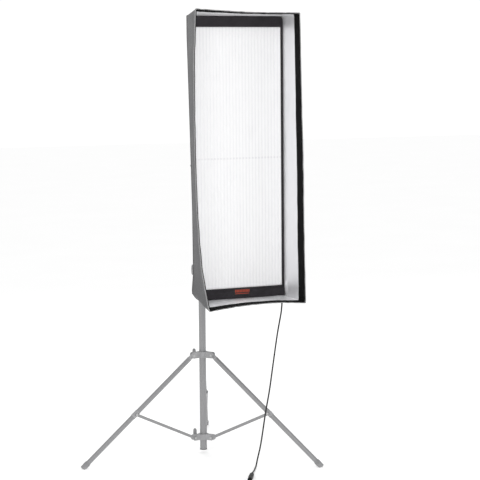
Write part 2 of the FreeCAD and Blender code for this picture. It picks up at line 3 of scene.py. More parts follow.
import bmesh
import bpy
from mathutils import Matrix, Vector, noise


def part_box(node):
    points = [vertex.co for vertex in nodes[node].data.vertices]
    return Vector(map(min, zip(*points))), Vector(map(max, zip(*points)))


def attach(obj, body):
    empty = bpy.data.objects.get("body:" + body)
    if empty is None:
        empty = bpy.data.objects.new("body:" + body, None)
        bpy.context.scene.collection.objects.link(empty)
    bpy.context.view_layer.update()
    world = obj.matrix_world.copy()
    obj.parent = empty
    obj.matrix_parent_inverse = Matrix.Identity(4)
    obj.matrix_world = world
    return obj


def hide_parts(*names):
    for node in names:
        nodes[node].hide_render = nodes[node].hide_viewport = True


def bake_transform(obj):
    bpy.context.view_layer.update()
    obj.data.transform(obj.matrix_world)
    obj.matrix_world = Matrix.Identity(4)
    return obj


# Strip softbox with a flexible LED mat, on a three-legged light stand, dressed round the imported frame.

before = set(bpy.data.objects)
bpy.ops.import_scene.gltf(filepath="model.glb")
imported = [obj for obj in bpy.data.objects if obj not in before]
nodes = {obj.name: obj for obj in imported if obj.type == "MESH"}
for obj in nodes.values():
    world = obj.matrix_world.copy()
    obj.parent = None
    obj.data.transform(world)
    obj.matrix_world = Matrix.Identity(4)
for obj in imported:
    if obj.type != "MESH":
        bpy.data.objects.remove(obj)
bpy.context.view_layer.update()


# ------------------------------------------------------------------ studio
# White room with a pale floor and large soft lights, seen from a little above the middle of the
# light and from its left. Nothing here belongs to the object.

scene = bpy.context.scene
scene.view_settings.view_transform = "Standard"
air = bpy.data.worlds.new("studio_air")
scene.world = air
air.use_nodes = True
sky = air.node_tree.nodes["Background"]
sky.inputs["Color"].default_value = (1.0, 1.0, 1.0, 1.0)
seen = air.node_tree.nodes.new("ShaderNodeLightPath").outputs["Is Camera Ray"]
brightness = air.node_tree.nodes.new("ShaderNodeMapRange")
brightness.inputs["To Min"].default_value = 0.68
brightness.inputs["To Max"].default_value = 1.05
air.node_tree.links.new(seen, brightness.inputs["Value"])
air.node_tree.links.new(brightness.outputs["Result"], sky.inputs["Strength"])

camera_data = bpy.data.cameras.new("studio_camera")
camera_data.sensor_width = 36.0
camera_data.lens = 127.86
camera = bpy.data.objects.new("studio_camera", camera_data)
scene.collection.objects.link(camera)
camera.matrix_world = (Matrix.Translation((-2.9111, -7.2584, 1.8024)) @ Matrix.Rotation(-0.421, 4, "Z")
                       @ Matrix.Rotation(math.pi / 2 - 0.1021, 4, "X") @ Matrix.Rotation(-0.0084, 4, "Z"))
scene.camera = camera


def soft_light(name, place, target, size, power):
    """Square area light at a place, facing a target."""
    lamp = bpy.data.lights.new(name, "AREA")
    lamp.size = size
    lamp.energy = power
    holder = bpy.data.objects.new(name, lamp)
    scene.collection.objects.link(holder)
    aim = Vector(target) - Vector(place)
    holder.matrix_world = Matrix.Translation(place) @ aim.to_track_quat("-Z", "Y").to_matrix().to_4x4()


soft_light("key_light", (-2.6, -4.6, 3.4), (0.2, -0.3, 1.2), 2.6, 62.0)
soft_light("fill_light", (3.8, -3.4, 2.6), (0.2, -0.3, 1.0), 2.4, 20.0)
soft_light("back_light", (0.6, 4.2, 3.2), (0.2, 0.0, 1.1), 3.0, 45.0)


class Term:
    """A shader socket that can stand in a sum; the sum adds its own nodes."""

    def __init__(self, finish, socket):
        self.finish = finish
        self.socket = socket

    def maths(self, operation, first, second=0.0):
        return self.finish.node("ShaderNodeMath", {"operation": operation}, {0: first, 1: second})

    def __add__(self, other):
        return self.maths("ADD", self, other)

    def __radd__(self, other):
        return self.maths("ADD", other, self)

    def __sub__(self, other):
        return self.maths("SUBTRACT", self, other)

    def __rsub__(self, other):
        return self.maths("SUBTRACT", other, self)

    def __mul__(self, other):
        return self.maths("MULTIPLY", self, other)

    def __rmul__(self, other):
        return self.maths("MULTIPLY", other, self)

    def __gt__(self, other):
        return self.maths("GREATER_THAN", self, other)

    def __lt__(self, other):
        return self.maths("LESS_THAN", self, other)

    def __pow__(self, other):
        return self.maths("POWER", self, other)

    def __abs__(self):
        return self.maths("ABSOLUTE", self)

    def sine(self):
        return self.maths("SINE", self)


class Finish:
    """One material. What is the same all over it is set on the shader's own sockets."""

    def __init__(self, name, **same):
        self.material = bpy.data.materials.new(name)
        self.material.use_nodes = True
        self.tree = self.material.node_tree
        self.shader = self.tree.nodes["Principled BSDF"]
        for socket, value in same.items():
            self.shader.inputs[socket.replace("_", " ")].default_value = value

    def node(self, kind, settings, inputs, output=0):
        """One node: its settings first, then the values or links of its sockets."""
        made = self.tree.nodes.new(kind)
        for setting, value in settings.items():
            if setting == "stops":
                for position, tone in value[2:]:
                    made.color_ramp.elements.new(position)
                for element, (position, tone) in zip(made.color_ramp.elements, value):
                    element.position = position
                    element.color = (tone, tone, tone, 1.0)
            else:
                setattr(made, setting, value)
        for socket, value in inputs.items():
            if isinstance(value, Term):
                self.tree.links.new(value.socket, made.inputs[socket])
            else:
                made.inputs[socket].default_value = value
        return Term(self, made.outputs[output])

    def place(self, source="Object"):
        return self.node("ShaderNodeTexCoord", {}, {}, source)

    def stretched(self, vector, factors):
        return self.node("ShaderNodeVectorMath", {"operation": "MULTIPLY"}, {0: vector, 1: factors})

    def axis(self, vector, which):
        return self.node("ShaderNodeSeparateXYZ", {}, {0: vector}, which)

    def clouds(self, vector, scale, detail=3.0, rough=0.5):
        return self.node("ShaderNodeTexNoise", {}, {"Vector": vector, "Scale": scale, "Detail": detail,
                                                    "Roughness": rough}, "Fac")

    def ramp(self, value, low, high, tone_low=0.0, tone_high=1.0):
        return self.node("ShaderNodeValToRGB", {"stops": [(low, tone_low), (high, tone_high)]}, {0: value})

    def mix(self, mask, first, second):
        return self.node("ShaderNodeMix", {"data_type": "RGBA"}, {0: mask, 6: first, 7: second}, 2)

    def bump(self, height, distance, strength=1.0):
        """Raise the surface by height times distance, in metres, on top of any bump made before."""
        inputs = {"Height": height, "Distance": distance, "Strength": strength}
        if self.shader.inputs["Normal"].is_linked:
            inputs["Normal"] = Term(self, self.shader.inputs["Normal"].links[0].from_socket)
        self.feed("Normal", self.node("ShaderNodeBump", {}, inputs))

    def feed(self, socket, value):
        self.tree.links.new(value.socket, self.shader.inputs[socket])


def grey(value, red=1.0, green=1.0, blue=1.0):
    return (value * red, value * green, value * blue, 1.0)


def wear(finish, *pieces):
    """Give pieces or CAD nodes this finish all over."""
    for piece in pieces:
        piece = nodes[piece] if isinstance(piece, str) else piece
        if not piece.material_slots:
            piece.data.materials.append(finish.material)
        for slot in piece.material_slots:
            slot.material = finish.material


floor_paint = Finish("floor_paint", Roughness=0.8, Specular_IOR_Level=0.0, Emission_Strength=0.36)
floor_place = floor_paint.place()
floor_cloud = floor_paint.clouds(floor_place, 1.5)
floor_tone = floor_paint.mix(floor_cloud, grey(0.93), grey(0.96))
floor_paint.feed("Base Color", floor_tone)
floor_paint.feed("Emission Color", floor_tone)

bpy.ops.object.select_all(action="DESELECT")
bpy.ops.mesh.primitive_plane_add(size=60.0, location=(0.0, 0.0, 0.0))
floor = bpy.context.object
floor.name = "studio_floor"
wear(floor_paint, floor)


# ------------------------------------------------------------------ cable
# Lead in a soft black jacket. It leaves the strain relief at the light's lower corner, hangs down
# behind the column's front side and ends on the floor, 0.93 m in all.

CABLE_RADIUS = 0.0035
CABLE_POINTS = [
    (0.417, -0.290, 0.728), (0.415, -0.290, 0.690), (0.405, -0.291, 0.645), (0.389, -0.296, 0.580),
    (0.371, -0.306, 0.500), (0.352, -0.317, 0.415), (0.331, -0.331, 0.325), (0.307, -0.340, 0.235),
    (0.289, -0.348, 0.150), (0.272, -0.358, 0.082), (0.250, -0.372, 0.030), (0.230, -0.400, 0.0037),
    (0.207, -0.438, 0.0037), (0.184, -0.478, 0.0039), (0.165, -0.510, 0.0085), (0.147, -0.541, 0.0112),
]


def line_through(points):
    """Points read along one smooth curve that has these as its control points."""
    curve = bpy.data.curves.new("route", "CURVE")
    curve.dimensions = "3D"
    curve.resolution_u = 10
    spline = curve.splines.new("NURBS")
    spline.points.add(len(points) - 1)
    for control, point in zip(spline.points, points):
        control.co = (*point, 1.0)
    spline.order_u = 3
    spline.use_endpoint_u = True
    holder = bpy.data.objects.new("route", curve)
    mesh = bpy.data.meshes.new_from_object(holder)
    found = [vertex.co.copy() for vertex in mesh.vertices]
    bpy.data.objects.remove(holder)
    bpy.data.curves.remove(curve)
    bpy.data.meshes.remove(mesh)
    return found


def woven_sheet(name, rows, closed=False, towards=None, thickness=0.0):
    """Mesh through rows of points, with a UV map in metres; closed joins each row's ends.

    towards gives the way that a face at some middle should look, and thickness grows behind it.
    """
    wide = len(rows[0])
    lengths = [0.0]
    middle_row = rows[len(rows) // 2]
    for first, second in zip(middle_row, middle_row[1:] + middle_row[:1]):
        lengths.append(lengths[-1] + (second - first).length)
    heights = [0.0]
    for first, second in zip(rows, rows[1:]):
        heights.append(heights[-1] + (second[wide // 3] - first[wide // 3]).length)
    points = [point for row in rows for point in row]
    faces = []
    maps = []
    for i in range(len(rows) - 1):
        for j in range(wide if closed else wide - 1):
            k = (j + 1) % wide
            faces.append((i * wide + j, i * wide + k, (i + 1) * wide + k, (i + 1) * wide + j))
            maps.append([(lengths[j], heights[i]), (lengths[j + 1], heights[i]),
                         (lengths[j + 1], heights[i + 1]), (lengths[j], heights[i + 1])])
    if towards:
        a, b, c = (points[index] for index in faces[len(faces) // 2][:3])
        if (b - a).cross(c - a).dot(towards((a + c) / 2)) < 0:
            faces = [face[::-1] for face in faces]
            maps = [corner[::-1] for corner in maps]
    mesh = bpy.data.meshes.new(name)
    mesh.from_pydata([tuple(point) for point in points], [], faces)
    weave = mesh.uv_layers.new(name="weave")
    flat = [value for corners in maps for corner in corners for value in corner]
    weave.data.foreach_set("uv", flat)
    mesh.polygons.foreach_set("use_smooth", [True] * len(faces))
    piece = bpy.data.objects.new(name, mesh)
    scene.collection.objects.link(piece)
    if thickness:
        finish_with(piece, "SOLIDIFY", thickness=thickness, offset=-1.0)
    return piece


def alone(piece):
    """Select only this piece and make it active."""
    bpy.ops.object.select_all(action="DESELECT")
    piece.select_set(True)
    bpy.context.view_layer.objects.active = piece


def finish_with(piece, kind, **settings):
    """Add a modifier and apply it."""
    alone(piece)
    modifier = piece.modifiers.new(kind.lower(), kind)
    for setting, value in settings.items():
        setattr(modifier, setting, value)
    bpy.ops.object.modifier_apply(modifier=modifier.name)


def tube_along(name, line, radius, sides=14):
    """Round closed tube along a line; radius is a number, or a function of the part of the way."""
    size = radius if callable(radius) else lambda way: radius
    side = (line[1] - line[0]).orthogonal().normalized()
    rings = []
    for i, centre in enumerate(line):
        along = (line[min(i + 1, len(line) - 1)] - line[max(i - 1, 0)]).normalized()
        side = (side - along * side.dot(along)).normalized()
        other = along.cross(side)
        reach = size(i / (len(line) - 1))
        rings.append([centre + (side * math.cos(turn) + other * math.sin(turn)) * reach
                      for turn in (2 * math.pi * k / sides for k in range(sides))])
    piece = woven_sheet(name, rings, closed=True)
    shape = bmesh.new()
    shape.from_mesh(piece.data)
    shape.verts.ensure_lookup_table()
    shape.faces.new(shape.verts[:sides])
    shape.faces.new(shape.verts[-sides:][::-1])
    bmesh.ops.recalc_face_normals(shape, faces=shape.faces)
    shape.to_mesh(piece.data)
    shape.free()
    return piece


jacket = Finish("cable_jacket", Roughness=0.5, Specular_IOR_Level=0.4)
jacket_place = jacket.place()
jacket_cloud = jacket.clouds(jacket_place, 60.0)
jacket.feed("Base Color", jacket.mix(jacket_cloud, grey(0.010), grey(0.024)))
jacket.feed("Roughness", jacket.ramp(jacket_cloud, 0.3, 0.8, 0.42, 0.62))
jacket.bump(jacket.clouds(jacket_place, 900.0, 2.0), 0.00015)

cable_line = line_through(CABLE_POINTS)
cable = tube_along("cable_lead", cable_line, CABLE_RADIUS)
wear(jacket, cable)
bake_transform(cable)
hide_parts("cable")


# ------------------------------------------------------------------ cable connector
# Inline barrel connector in glass-filled nylon, with a ribbed boot on the lead, a knurled locking
# ring and an open socket. It lies on the floor at the end of the lead.

def turned(name, sections, start, direction, sides=40, bevel=0.0):
    """Turned part: a disc drawn out along an axis through sections of (distance, radius)."""
    bpy.ops.object.select_all(action="DESELECT")
    bpy.ops.mesh.primitive_circle_add(vertices=sides, radius=sections[0][1], fill_type="NGON",
                                      location=(0.0, 0.0, 0.0))
    piece = bpy.context.object
    piece.name = name
    bpy.ops.object.mode_set(mode="EDIT")
    bpy.ops.mesh.select_all(action="SELECT")
    bpy.ops.transform.translate(value=(0.0, 0.0, sections[0][0]))
    for (before, was), (distance, radius) in zip(sections, sections[1:]):
        bpy.ops.mesh.extrude_region_move(TRANSFORM_OT_translate={"value": (0.0, 0.0, distance - before)})
        bpy.ops.transform.resize(value=(radius / was, radius / was, 1.0),
                                 center_override=(0.0, 0.0, distance))
    bpy.ops.mesh.select_all(action="SELECT")
    bpy.ops.mesh.normals_make_consistent(inside=False)
    bpy.ops.object.mode_set(mode="OBJECT")
    if bevel:
        finish_with(piece, "BEVEL", width=bevel, segments=2, limit_method="ANGLE")
    alone(piece)
    bpy.ops.object.shade_smooth_by_angle(angle=math.radians(32))
    spin = Vector(direction).to_track_quat("Z", "Y").to_matrix().to_4x4()
    piece.data.transform(Matrix.Translation(start) @ spin)
    return piece


def joined(name, first, *others):
    """One piece from several that are fixed together."""
    alone(first)
    for other in others:
        other.select_set(True)
    bpy.ops.object.join()
    first.name = name
    return first


def moulded(name, dark, light, grain=700.0, rough=(0.45, 0.65)):
    """Moulded plastic: fine spark-eroded grain, with a little wear in broad patches."""
    finish = Finish(name, Specular_IOR_Level=0.4)
    spot = finish.place()
    patches = finish.clouds(spot, 25.0, 4.0)
    finish.feed("Base Color", finish.mix(finish.ramp(patches, 0.35, 0.7), dark, light))
    finish.feed("Roughness", finish.ramp(patches, 0.3, 0.75, rough[0], rough[1]))
    finish.bump(finish.clouds(spot, grain, 3.0, 0.6), 0.00025)
    return finish


connector_black = moulded("connector_black", grey(0.010), grey(0.022))
END = Vector(CABLE_POINTS[-1])
ALONG = Vector((-0.5, -0.866, 0.0)).normalized()
BOOT_RIBS = [(0.0, 0.0045)]
for rib in range(6):
    BOOT_RIBS += [(0.0035 * rib + 0.0012, 0.0052 + 0.0005 * rib),
                  (0.0035 * rib + 0.0028, 0.0052 + 0.0005 * rib),
                  (0.0035 * rib + 0.0034, 0.0043 + 0.0005 * rib)]
boot = turned("connector_boot", BOOT_RIBS + [(0.0245, 0.0080), (0.026, 0.0084)], END, ALONG, 32)
barrel = turned("connector_barrel", [
    (0.0258, 0.0088), (0.0268, 0.0100), (0.0550, 0.0104), (0.0553, 0.0099), (0.0560, 0.0099),
    (0.0563, 0.0106),
    (0.0780, 0.0106), (0.0783, 0.0098), (0.0792, 0.0098), (0.0795, 0.0104), (0.1168, 0.0102),
    (0.1178, 0.0094),
    (0.1178, 0.0080), (0.1060, 0.0079), (0.1060, 0.0030), (0.1120, 0.0024), (0.1130, 0.0012)], END, ALONG, 48)
grips = []
for ridge in range(24):
    turn = 2 * math.pi * ridge / 24
    grips.append(turned("connector_grip", [(0.0585, 0.0004), (0.0592, 0.0008), (0.0750, 0.0008),
                                           (0.0757, 0.0004)],
                        Vector((0.0, 0.0, 0.0)), (0.0, 0.0, 1.0), 6))
    grips[-1].data.transform(Matrix.Translation((0.0104 * math.cos(turn), 0.0104 * math.sin(turn), 0.0)))
ring = joined("connector_ring", *grips)
ring.data.transform(Matrix.Translation(END) @ ALONG.to_track_quat("Z", "Y").to_matrix().to_4x4())
connector = joined("inline_connector", barrel, boot, ring)
wear(connector_black, connector)
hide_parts("cable_connector")
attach(connector, "swivel")

# ------------------------------------------------------------------ cable gland
# Small junction box screwed to the mat's lower corner, with two cover screws, and a soft tapered
# strain relief under it that the lead hangs from.

gland_low, gland_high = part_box("cable_gland")
exit_point = Vector(CABLE_POINTS[0])


def box_part(name, low, high, bevel, segments=3):
    """Box between two corners with rounded edges."""
    low, high = Vector(low), Vector(high)
    bpy.ops.object.select_all(action="DESELECT")
    bpy.ops.mesh.primitive_cube_add(size=1.0, location=(low + high) / 2, scale=high - low)
    piece = bpy.context.object
    piece.name = name
    bpy.ops.object.transform_apply(location=True, rotation=True, scale=True)
    bpy.ops.object.mode_set(mode="EDIT")
    bpy.ops.mesh.select_all(action="SELECT")
    bpy.ops.mesh.bevel(offset=bevel, segments=segments, affect="EDGES")
    bpy.ops.object.mode_set(mode="OBJECT")
    bpy.ops.object.shade_smooth_by_angle(angle=math.radians(35))
    return piece


def cap_screw(name, place, direction, radius, height):
    """Socket-head screw: a low cylinder with a bevelled rim and a six-sided recess."""
    return turned(name, [(-0.002, radius), (height - radius * 0.15, radius), (height, radius * 0.86),
                         (height, radius * 0.5), (height - radius * 0.55, radius * 0.48)], place, direction,
                  6 * 4)


bright_steel = Finish("bright_steel", Metallic=0.9)
steel_place = bright_steel.place()
steel_cloud = bright_steel.clouds(steel_place, 90.0, 4.0)
bright_steel.feed("Base Color", bright_steel.mix(steel_cloud, grey(0.42), grey(0.58)))
bright_steel.feed("Roughness", bright_steel.ramp(steel_cloud, 0.3, 0.7, 0.25, 0.42))
bright_steel.bump(bright_steel.clouds(bright_steel.stretched(steel_place, (1.0, 1.0, 12.0)), 240.0), 0.00008)

black_moulding = moulded("black_moulding", grey(0.012), grey(0.028), 520.0)
box_low_z = exit_point.z + 0.030
junction = box_part("junction_box", (gland_low.x, gland_low.y, box_low_z), gland_high, 0.0025)
lid = box_part("junction_lid", (gland_low.x + 0.0015, gland_high.y - 0.0012, box_low_z + 0.0015),
               (gland_high.x - 0.0015, gland_high.y + 0.0016, gland_high.z - 0.0015), 0.0008, 2)
relief_rings = []
for rib in range(7):
    relief_rings += [(0.0040 * rib, 0.0068 - 0.00034 * rib), (0.0040 * rib + 0.0022, 0.0068 - 0.00034 * rib),
                     (0.0040 * rib + 0.0026, 0.0059 - 0.00034 * rib),
                     (0.0040 * rib + 0.0036, 0.0059 - 0.00034 * rib)]
relief = turned("strain_relief", relief_rings + [(0.0290, 0.0043), (0.0300, 0.0040)],
                (exit_point.x, exit_point.y, box_low_z), (0.0, 0.0, -1.0), 32)
gland = joined("cable_junction", junction, lid, relief)
wear(black_moulding, gland)
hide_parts("cable_gland")
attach(gland, "head")

for index, side in enumerate((-1, 1), start=1):
    lid_screw = cap_screw(f"junction_screw_{index}",
                          ((gland_low.x + gland_high.x) / 2 + side * 0.0085, gland_high.y + 0.0014,
                           (box_low_z + gland_high.z) / 2), (0.0, 1.0, 0.0), 0.0022, 0.0009)
    wear(bright_steel, lid_screw)
    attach(lid_screw, "head")


# ------------------------------------------------------------------ column
# Three drawn aluminium tubes that slide in each other, satin grey, with fine marks along their
# length, moulded clamp collars between them and a black plug in the foot of the lowest.

def drawn_metal(name, dark, light, stretch):
    """Anodised tube: drawn streaks along one axis, and a soft change in sheen from handling."""
    finish = Finish(name, Metallic=0.35, Specular_IOR_Level=0.5)
    spot = finish.place()
    streaks = finish.clouds(finish.stretched(spot, stretch), 260.0, 4.0, 0.6)
    handled = finish.clouds(spot, 9.0, 3.0)
    finish.feed("Base Color", finish.mix(streaks * 0.6 + handled * 0.4, dark, light))
    finish.feed("Roughness", finish.ramp(handled, 0.35, 0.7, 0.34, 0.5))
    finish.bump(streaks, 0.00006)
    return finish


COLUMN_LOW, COLUMN_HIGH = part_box("lower_tube")
COLUMN = Vector(((COLUMN_LOW.x + COLUMN_HIGH.x) / 2, (COLUMN_LOW.y + COLUMN_HIGH.y) / 2, 0.0))
satin_column = drawn_metal("satin_column", grey(0.27, 1.0, 1.0, 1.02), grey(0.36, 1.0, 1.0, 1.02),
                           (1.0, 1.0, 0.02))
cast_grey = moulded("cast_grey", grey(0.34, 1.0, 1.0, 1.02), grey(0.43, 1.0, 1.0, 1.02), 420.0, (0.5, 0.68))
wear(satin_column, "lower_tube", "mid_tube", "top_tube")
wear(cast_grey, "mast_lock_lower", "mast_lock_upper", "lower_collar", "leg_collar")
wear(black_moulding, "tube_end_cap")
wear(bright_steel, "spigot")


def band(name, node_z, radius, height, finish, body, ribs=1):
    """Raised ring round the column at a height."""
    sections = [(0.0, radius - 0.0008)]
    step = height / ribs
    for rib in range(ribs):
        base = rib * step
        sections += [(base + step * 0.12, radius + 0.0008), (base + step * 0.72, radius + 0.0008),
                     (base + step * 0.84, radius - 0.0004)]
    ring_piece = turned(name, sections + [(height, radius - 0.0008)], (COLUMN.x, COLUMN.y, node_z),
                        (0.0, 0.0, 1.0), 56)
    wear(finish, ring_piece)
    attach(ring_piece, body)


LOCK_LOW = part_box("mast_lock_lower")
LOCK_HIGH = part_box("mast_lock_upper")
band("lock_skirt_lower", LOCK_LOW[0].z + 0.0015, 0.0240, 0.010, cast_grey, "column", 3)
band("lock_lip_lower", LOCK_LOW[1].z - 0.0080, 0.0240, 0.006, cast_grey, "column", 2)
band("lock_skirt_upper", LOCK_HIGH[0].z + 0.0015, 0.0220, 0.010, cast_grey, "mast_mid", 3)
band("lock_lip_upper", LOCK_HIGH[1].z - 0.0080, 0.0220, 0.006, cast_grey, "mast_mid", 2)

# ------------------------------------------------------------------ clamp knobs
# Two-winged knobs in grey nylon on steel screws. A round hub with a domed cap carries a wing that
# is thick at the hub, thins out to the tips and has finger ridges on both faces.

knob_grey = moulded("knob_grey", grey(0.25, 1.0, 1.0, 1.02), grey(0.33, 1.0, 1.0, 1.02), 380.0, (0.48, 0.66))


def wing_knob():
    """Knob about the X axis, hub from 0 to 16 mm, wing 48 mm tall."""
    hub = turned("knob_hub", [(0.0, 0.0072), (0.0008, 0.0080), (0.0150, 0.0080), (0.0166, 0.0072),
                              (0.0172, 0.0050),
                              (0.0166, 0.0044), (0.0160, 0.0020)], (0.0, 0.0, 0.0), (1.0, 0.0, 0.0), 36)
    screw = turned("knob_screw", [(-0.0166, 0.0024), (-0.0160, 0.0029), (0.0010, 0.0029), (0.0012, 0.0020)],
                   (0.0, 0.0, 0.0), (1.0, 0.0, 0.0), 24)
    bpy.ops.object.select_all(action="DESELECT")
    bpy.ops.mesh.primitive_cube_add(size=1.0, location=(0.0, 0.0, 0.0))
    wing = bpy.context.object
    wing.name = "knob_wing"
    bpy.ops.object.mode_set(mode="EDIT")
    bpy.ops.mesh.select_all(action="SELECT")
    bpy.ops.mesh.subdivide(number_cuts=11)
    shape = bmesh.from_edit_mesh(wing.data)
    for vertex in shape.verts:
        out = abs(vertex.co.z) * 2
        thick = 0.0080 - 0.0030 * out ** 1.5
        depth = 0.0150 * math.sqrt(max(0.0, 1.0 - (out * 0.93) ** 6))
        ridge = 0.0004 * math.cos(out * 34.0) if 0.45 < out < 0.95 and abs(vertex.co.y) > 0.45 else 0.0
        vertex.co = Vector((0.0125 + vertex.co.x * depth, vertex.co.y * (thick + 2 * ridge),
                            vertex.co.z * 0.0478))
    bmesh.update_edit_mesh(wing.data)
    bpy.ops.object.mode_set(mode="OBJECT")
    finish_with(wing, "BEVEL", width=0.0016, segments=3, limit_method="ANGLE", angle_limit=math.radians(50))
    alone(wing)
    bpy.ops.object.shade_smooth_by_angle(angle=math.radians(40))
    wear(knob_grey, hub, wing)
    wear(bright_steel, screw)
    return joined("wing_knob", hub, wing, screw)


pattern = wing_knob()
KNOBS = [("lower_knob", 0.0333, 0.90, 0.0115), ("leg_knob", 0.0333, 1.0, 0.0),
         ("mast_knob_lower", 0.0333, 1.0, 0.0), ("mast_knob_upper", 0.0313, 1.0, 0.0),
         ("spigot_knob", 0.0263, 0.71, 0.0)]
for node, hub_reach, wing_scale, wing_shift in KNOBS:
    low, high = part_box(node)
    middle = (low + high) / 2
    outwards = Vector((middle.x - COLUMN.x, middle.y - COLUMN.y, 0.0)).normalized()
    knob_mesh = pattern.data.copy()
    knob = bpy.data.objects.new(f"{node}_grip", knob_mesh)
    scene.collection.objects.link(knob)
    for vertex in knob_mesh.vertices:
        if abs(vertex.co.z) > 0.0081:
            past_hub = min(1.0, (abs(vertex.co.z) - 0.0081) / 0.004)
            vertex.co.z = vertex.co.z * wing_scale + wing_shift * past_hub
    turn = math.atan2(outwards.y, outwards.x)
    height = middle.z - wing_shift
    knob_mesh.transform(Matrix.Translation((COLUMN.x + outwards.x * hub_reach,
                                            COLUMN.y + outwards.y * hub_reach,
                                            height)) @ Matrix.Rotation(turn, 4, "Z"))
    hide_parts(node)
    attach(knob, node)
bpy.data.objects.remove(pattern)


# ------------------------------------------------------------------ legs and braces
# Three tube legs hinged on a sliding collar, each held by a pair of flat bars from the fixed collar
# below. Steel pins and rivets join them, and ribbed rubber boots stand on the floor.

satin_leg = drawn_metal("satin_leg", grey(0.27, 1.0, 1.0, 1.02), grey(0.36, 1.0, 1.0, 1.02),
                        (0.25, 0.25, 0.25))
foot_rubber = moulded("foot_rubber", grey(0.27, 1.0, 1.0, 1.02), grey(0.35, 1.0, 1.0, 1.02), 260.0,
                      (0.7, 0.9))
wear(bright_steel, "leg_pivot_pins", "brace_pivot_pins")
for number in (1, 2, 3):
    wear(satin_leg, f"leg_tube_{number}", f"brace_bars_{number}")
    wear(cast_grey, f"leg_head_{number}", f"leg_saddle_{number}")
    wear(bright_steel, f"brace_rivets_{number}")
    wear(foot_rubber, f"foot_{number}")

    foot_low, foot_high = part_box(f"foot_{number}")
    foot_middle = (foot_low + foot_high) / 2
    bearing = Vector((foot_middle.x - COLUMN.x, foot_middle.y - COLUMN.y, 0.0)).normalized()
    pivot = COLUMN + bearing * 0.052 + Vector((0.0, 0.0, 0.466))
    sole = COLUMN + bearing * 0.6244
    slope = (sole - pivot).normalized()
    rings = []
    for index, distance in enumerate((0.0350, 0.0295, 0.0240)):
        rings.append(turned(f"foot_ring_{index}", [(0.0, 0.0120), (0.0008, 0.0138), (0.0024, 0.0138),
                                                   (0.0032, 0.0120)],
                            sole - slope * distance, slope, 40))
    tread = joined(f"foot_ribs_{number}", *rings)
    wear(foot_rubber, tread)
    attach(tread, f"leg_{number}")

    brace_at = pivot + slope * ((sole - pivot).length * 0.5255)
    lips = [turned("saddle_lip", [(0.0, 0.0115), (0.0006, 0.01266), (0.0026, 0.01266), (0.0032, 0.0115)],
                   brace_at + slope * distance, slope, 40) for distance in (-0.0182, 0.0150)]
    saddle_rims = joined(f"saddle_rims_{number}", *lips)
    wear(cast_grey, saddle_rims)
    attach(saddle_rims, f"leg_{number}")


# ------------------------------------------------------------------ swivel and tilt joint
# Die-cast receiver on the stand's spigot, with an umbrella hole, and a toothed disc joint that the
# long lever clamps. The barrel on the right carries the arm to the mat.

cast_black = moulded("cast_black", grey(0.020), grey(0.040), 480.0, (0.42, 0.6))
wear(cast_black, "receiver", "tilt_block", "tilt_lever", "hub_plate", "rod_sockets")
wear(bright_steel, "tilt_bolt")
arm_metal = drawn_metal("arm_metal", grey(0.27), grey(0.36), (1.0, 0.02, 1.0))
wear(arm_metal, "head_arm")

receiver_low, receiver_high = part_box("receiver")
TILT_Z = (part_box("tilt_block")[0].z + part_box("tilt_block")[1].z) / 2


def toothed_ring(name, x, thickness, radius, body):
    """Disc with a fine toothed rim, about the tilt axis."""
    bpy.ops.object.select_all(action="DESELECT")
    bpy.ops.mesh.primitive_cylinder_add(vertices=120, radius=radius, depth=thickness, end_fill_type="NGON",
                                        location=(0.0, 0.0, 0.0))
    disc = bpy.context.object
    disc.name = name
    bpy.ops.object.mode_set(mode="EDIT")
    shape = bmesh.from_edit_mesh(disc.data)
    for vertex in shape.verts:
        step = round(math.atan2(vertex.co.y, vertex.co.x) / (2 * math.pi) * 120)
        vertex.select = step % 3 == 0
    shape.select_flush(True)
    bmesh.update_edit_mesh(disc.data)
    bpy.ops.transform.resize(value=(1.045, 1.045, 1.0), center_override=(0.0, 0.0, 0.0))
    bpy.ops.object.mode_set(mode="OBJECT")
    disc.data.transform(Matrix.Translation((x, COLUMN.y, TILT_Z)) @ Matrix.Rotation(math.pi / 2, 4, "Y"))
    bpy.ops.object.shade_smooth_by_angle(angle=math.radians(12))
    wear(cast_black, disc)
    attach(disc, body)


toothed_ring("tilt_teeth_fixed", receiver_high.x - 0.0015, 0.0024, 0.0206, "swivel")
toothed_ring("tilt_teeth_moving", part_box("tilt_block")[0].x + 0.0015, 0.0024, 0.0206, "head")

for index, (side_y, side_z) in enumerate(((1, 1), (1, -1), (-1, 1), (-1, -1)), start=1):
    swivel_screw = cap_screw(f"receiver_screw_{index}",
                             (receiver_low.x + 0.0002, COLUMN.y + side_y * 0.0125, 1.318 + side_z * 0.0155),
                             (-1.0, 0.0, 0.0), 0.0026, 0.0010)
    wear(bright_steel, swivel_screw)
    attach(swivel_screw, "swivel")

lever_ring = turned("lever_washer", [(0.0, 0.0098), (0.0006, 0.0105), (0.0016, 0.0105), (0.0022, 0.0098)],
                    (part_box("tilt_bolt")[0].x + 0.0050, COLUMN.y, TILT_Z), (1.0, 0.0, 0.0), 48)
wear(bright_steel, lever_ring)
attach(lever_ring, "swivel")


# ------------------------------------------------------------------ holder behind the mat
# Round hub plate with four spring rods that reach to pockets in the mat's corners. Screws hold the
# plate to the rod sockets, and each rod has a steel ferrule where it enters its socket.

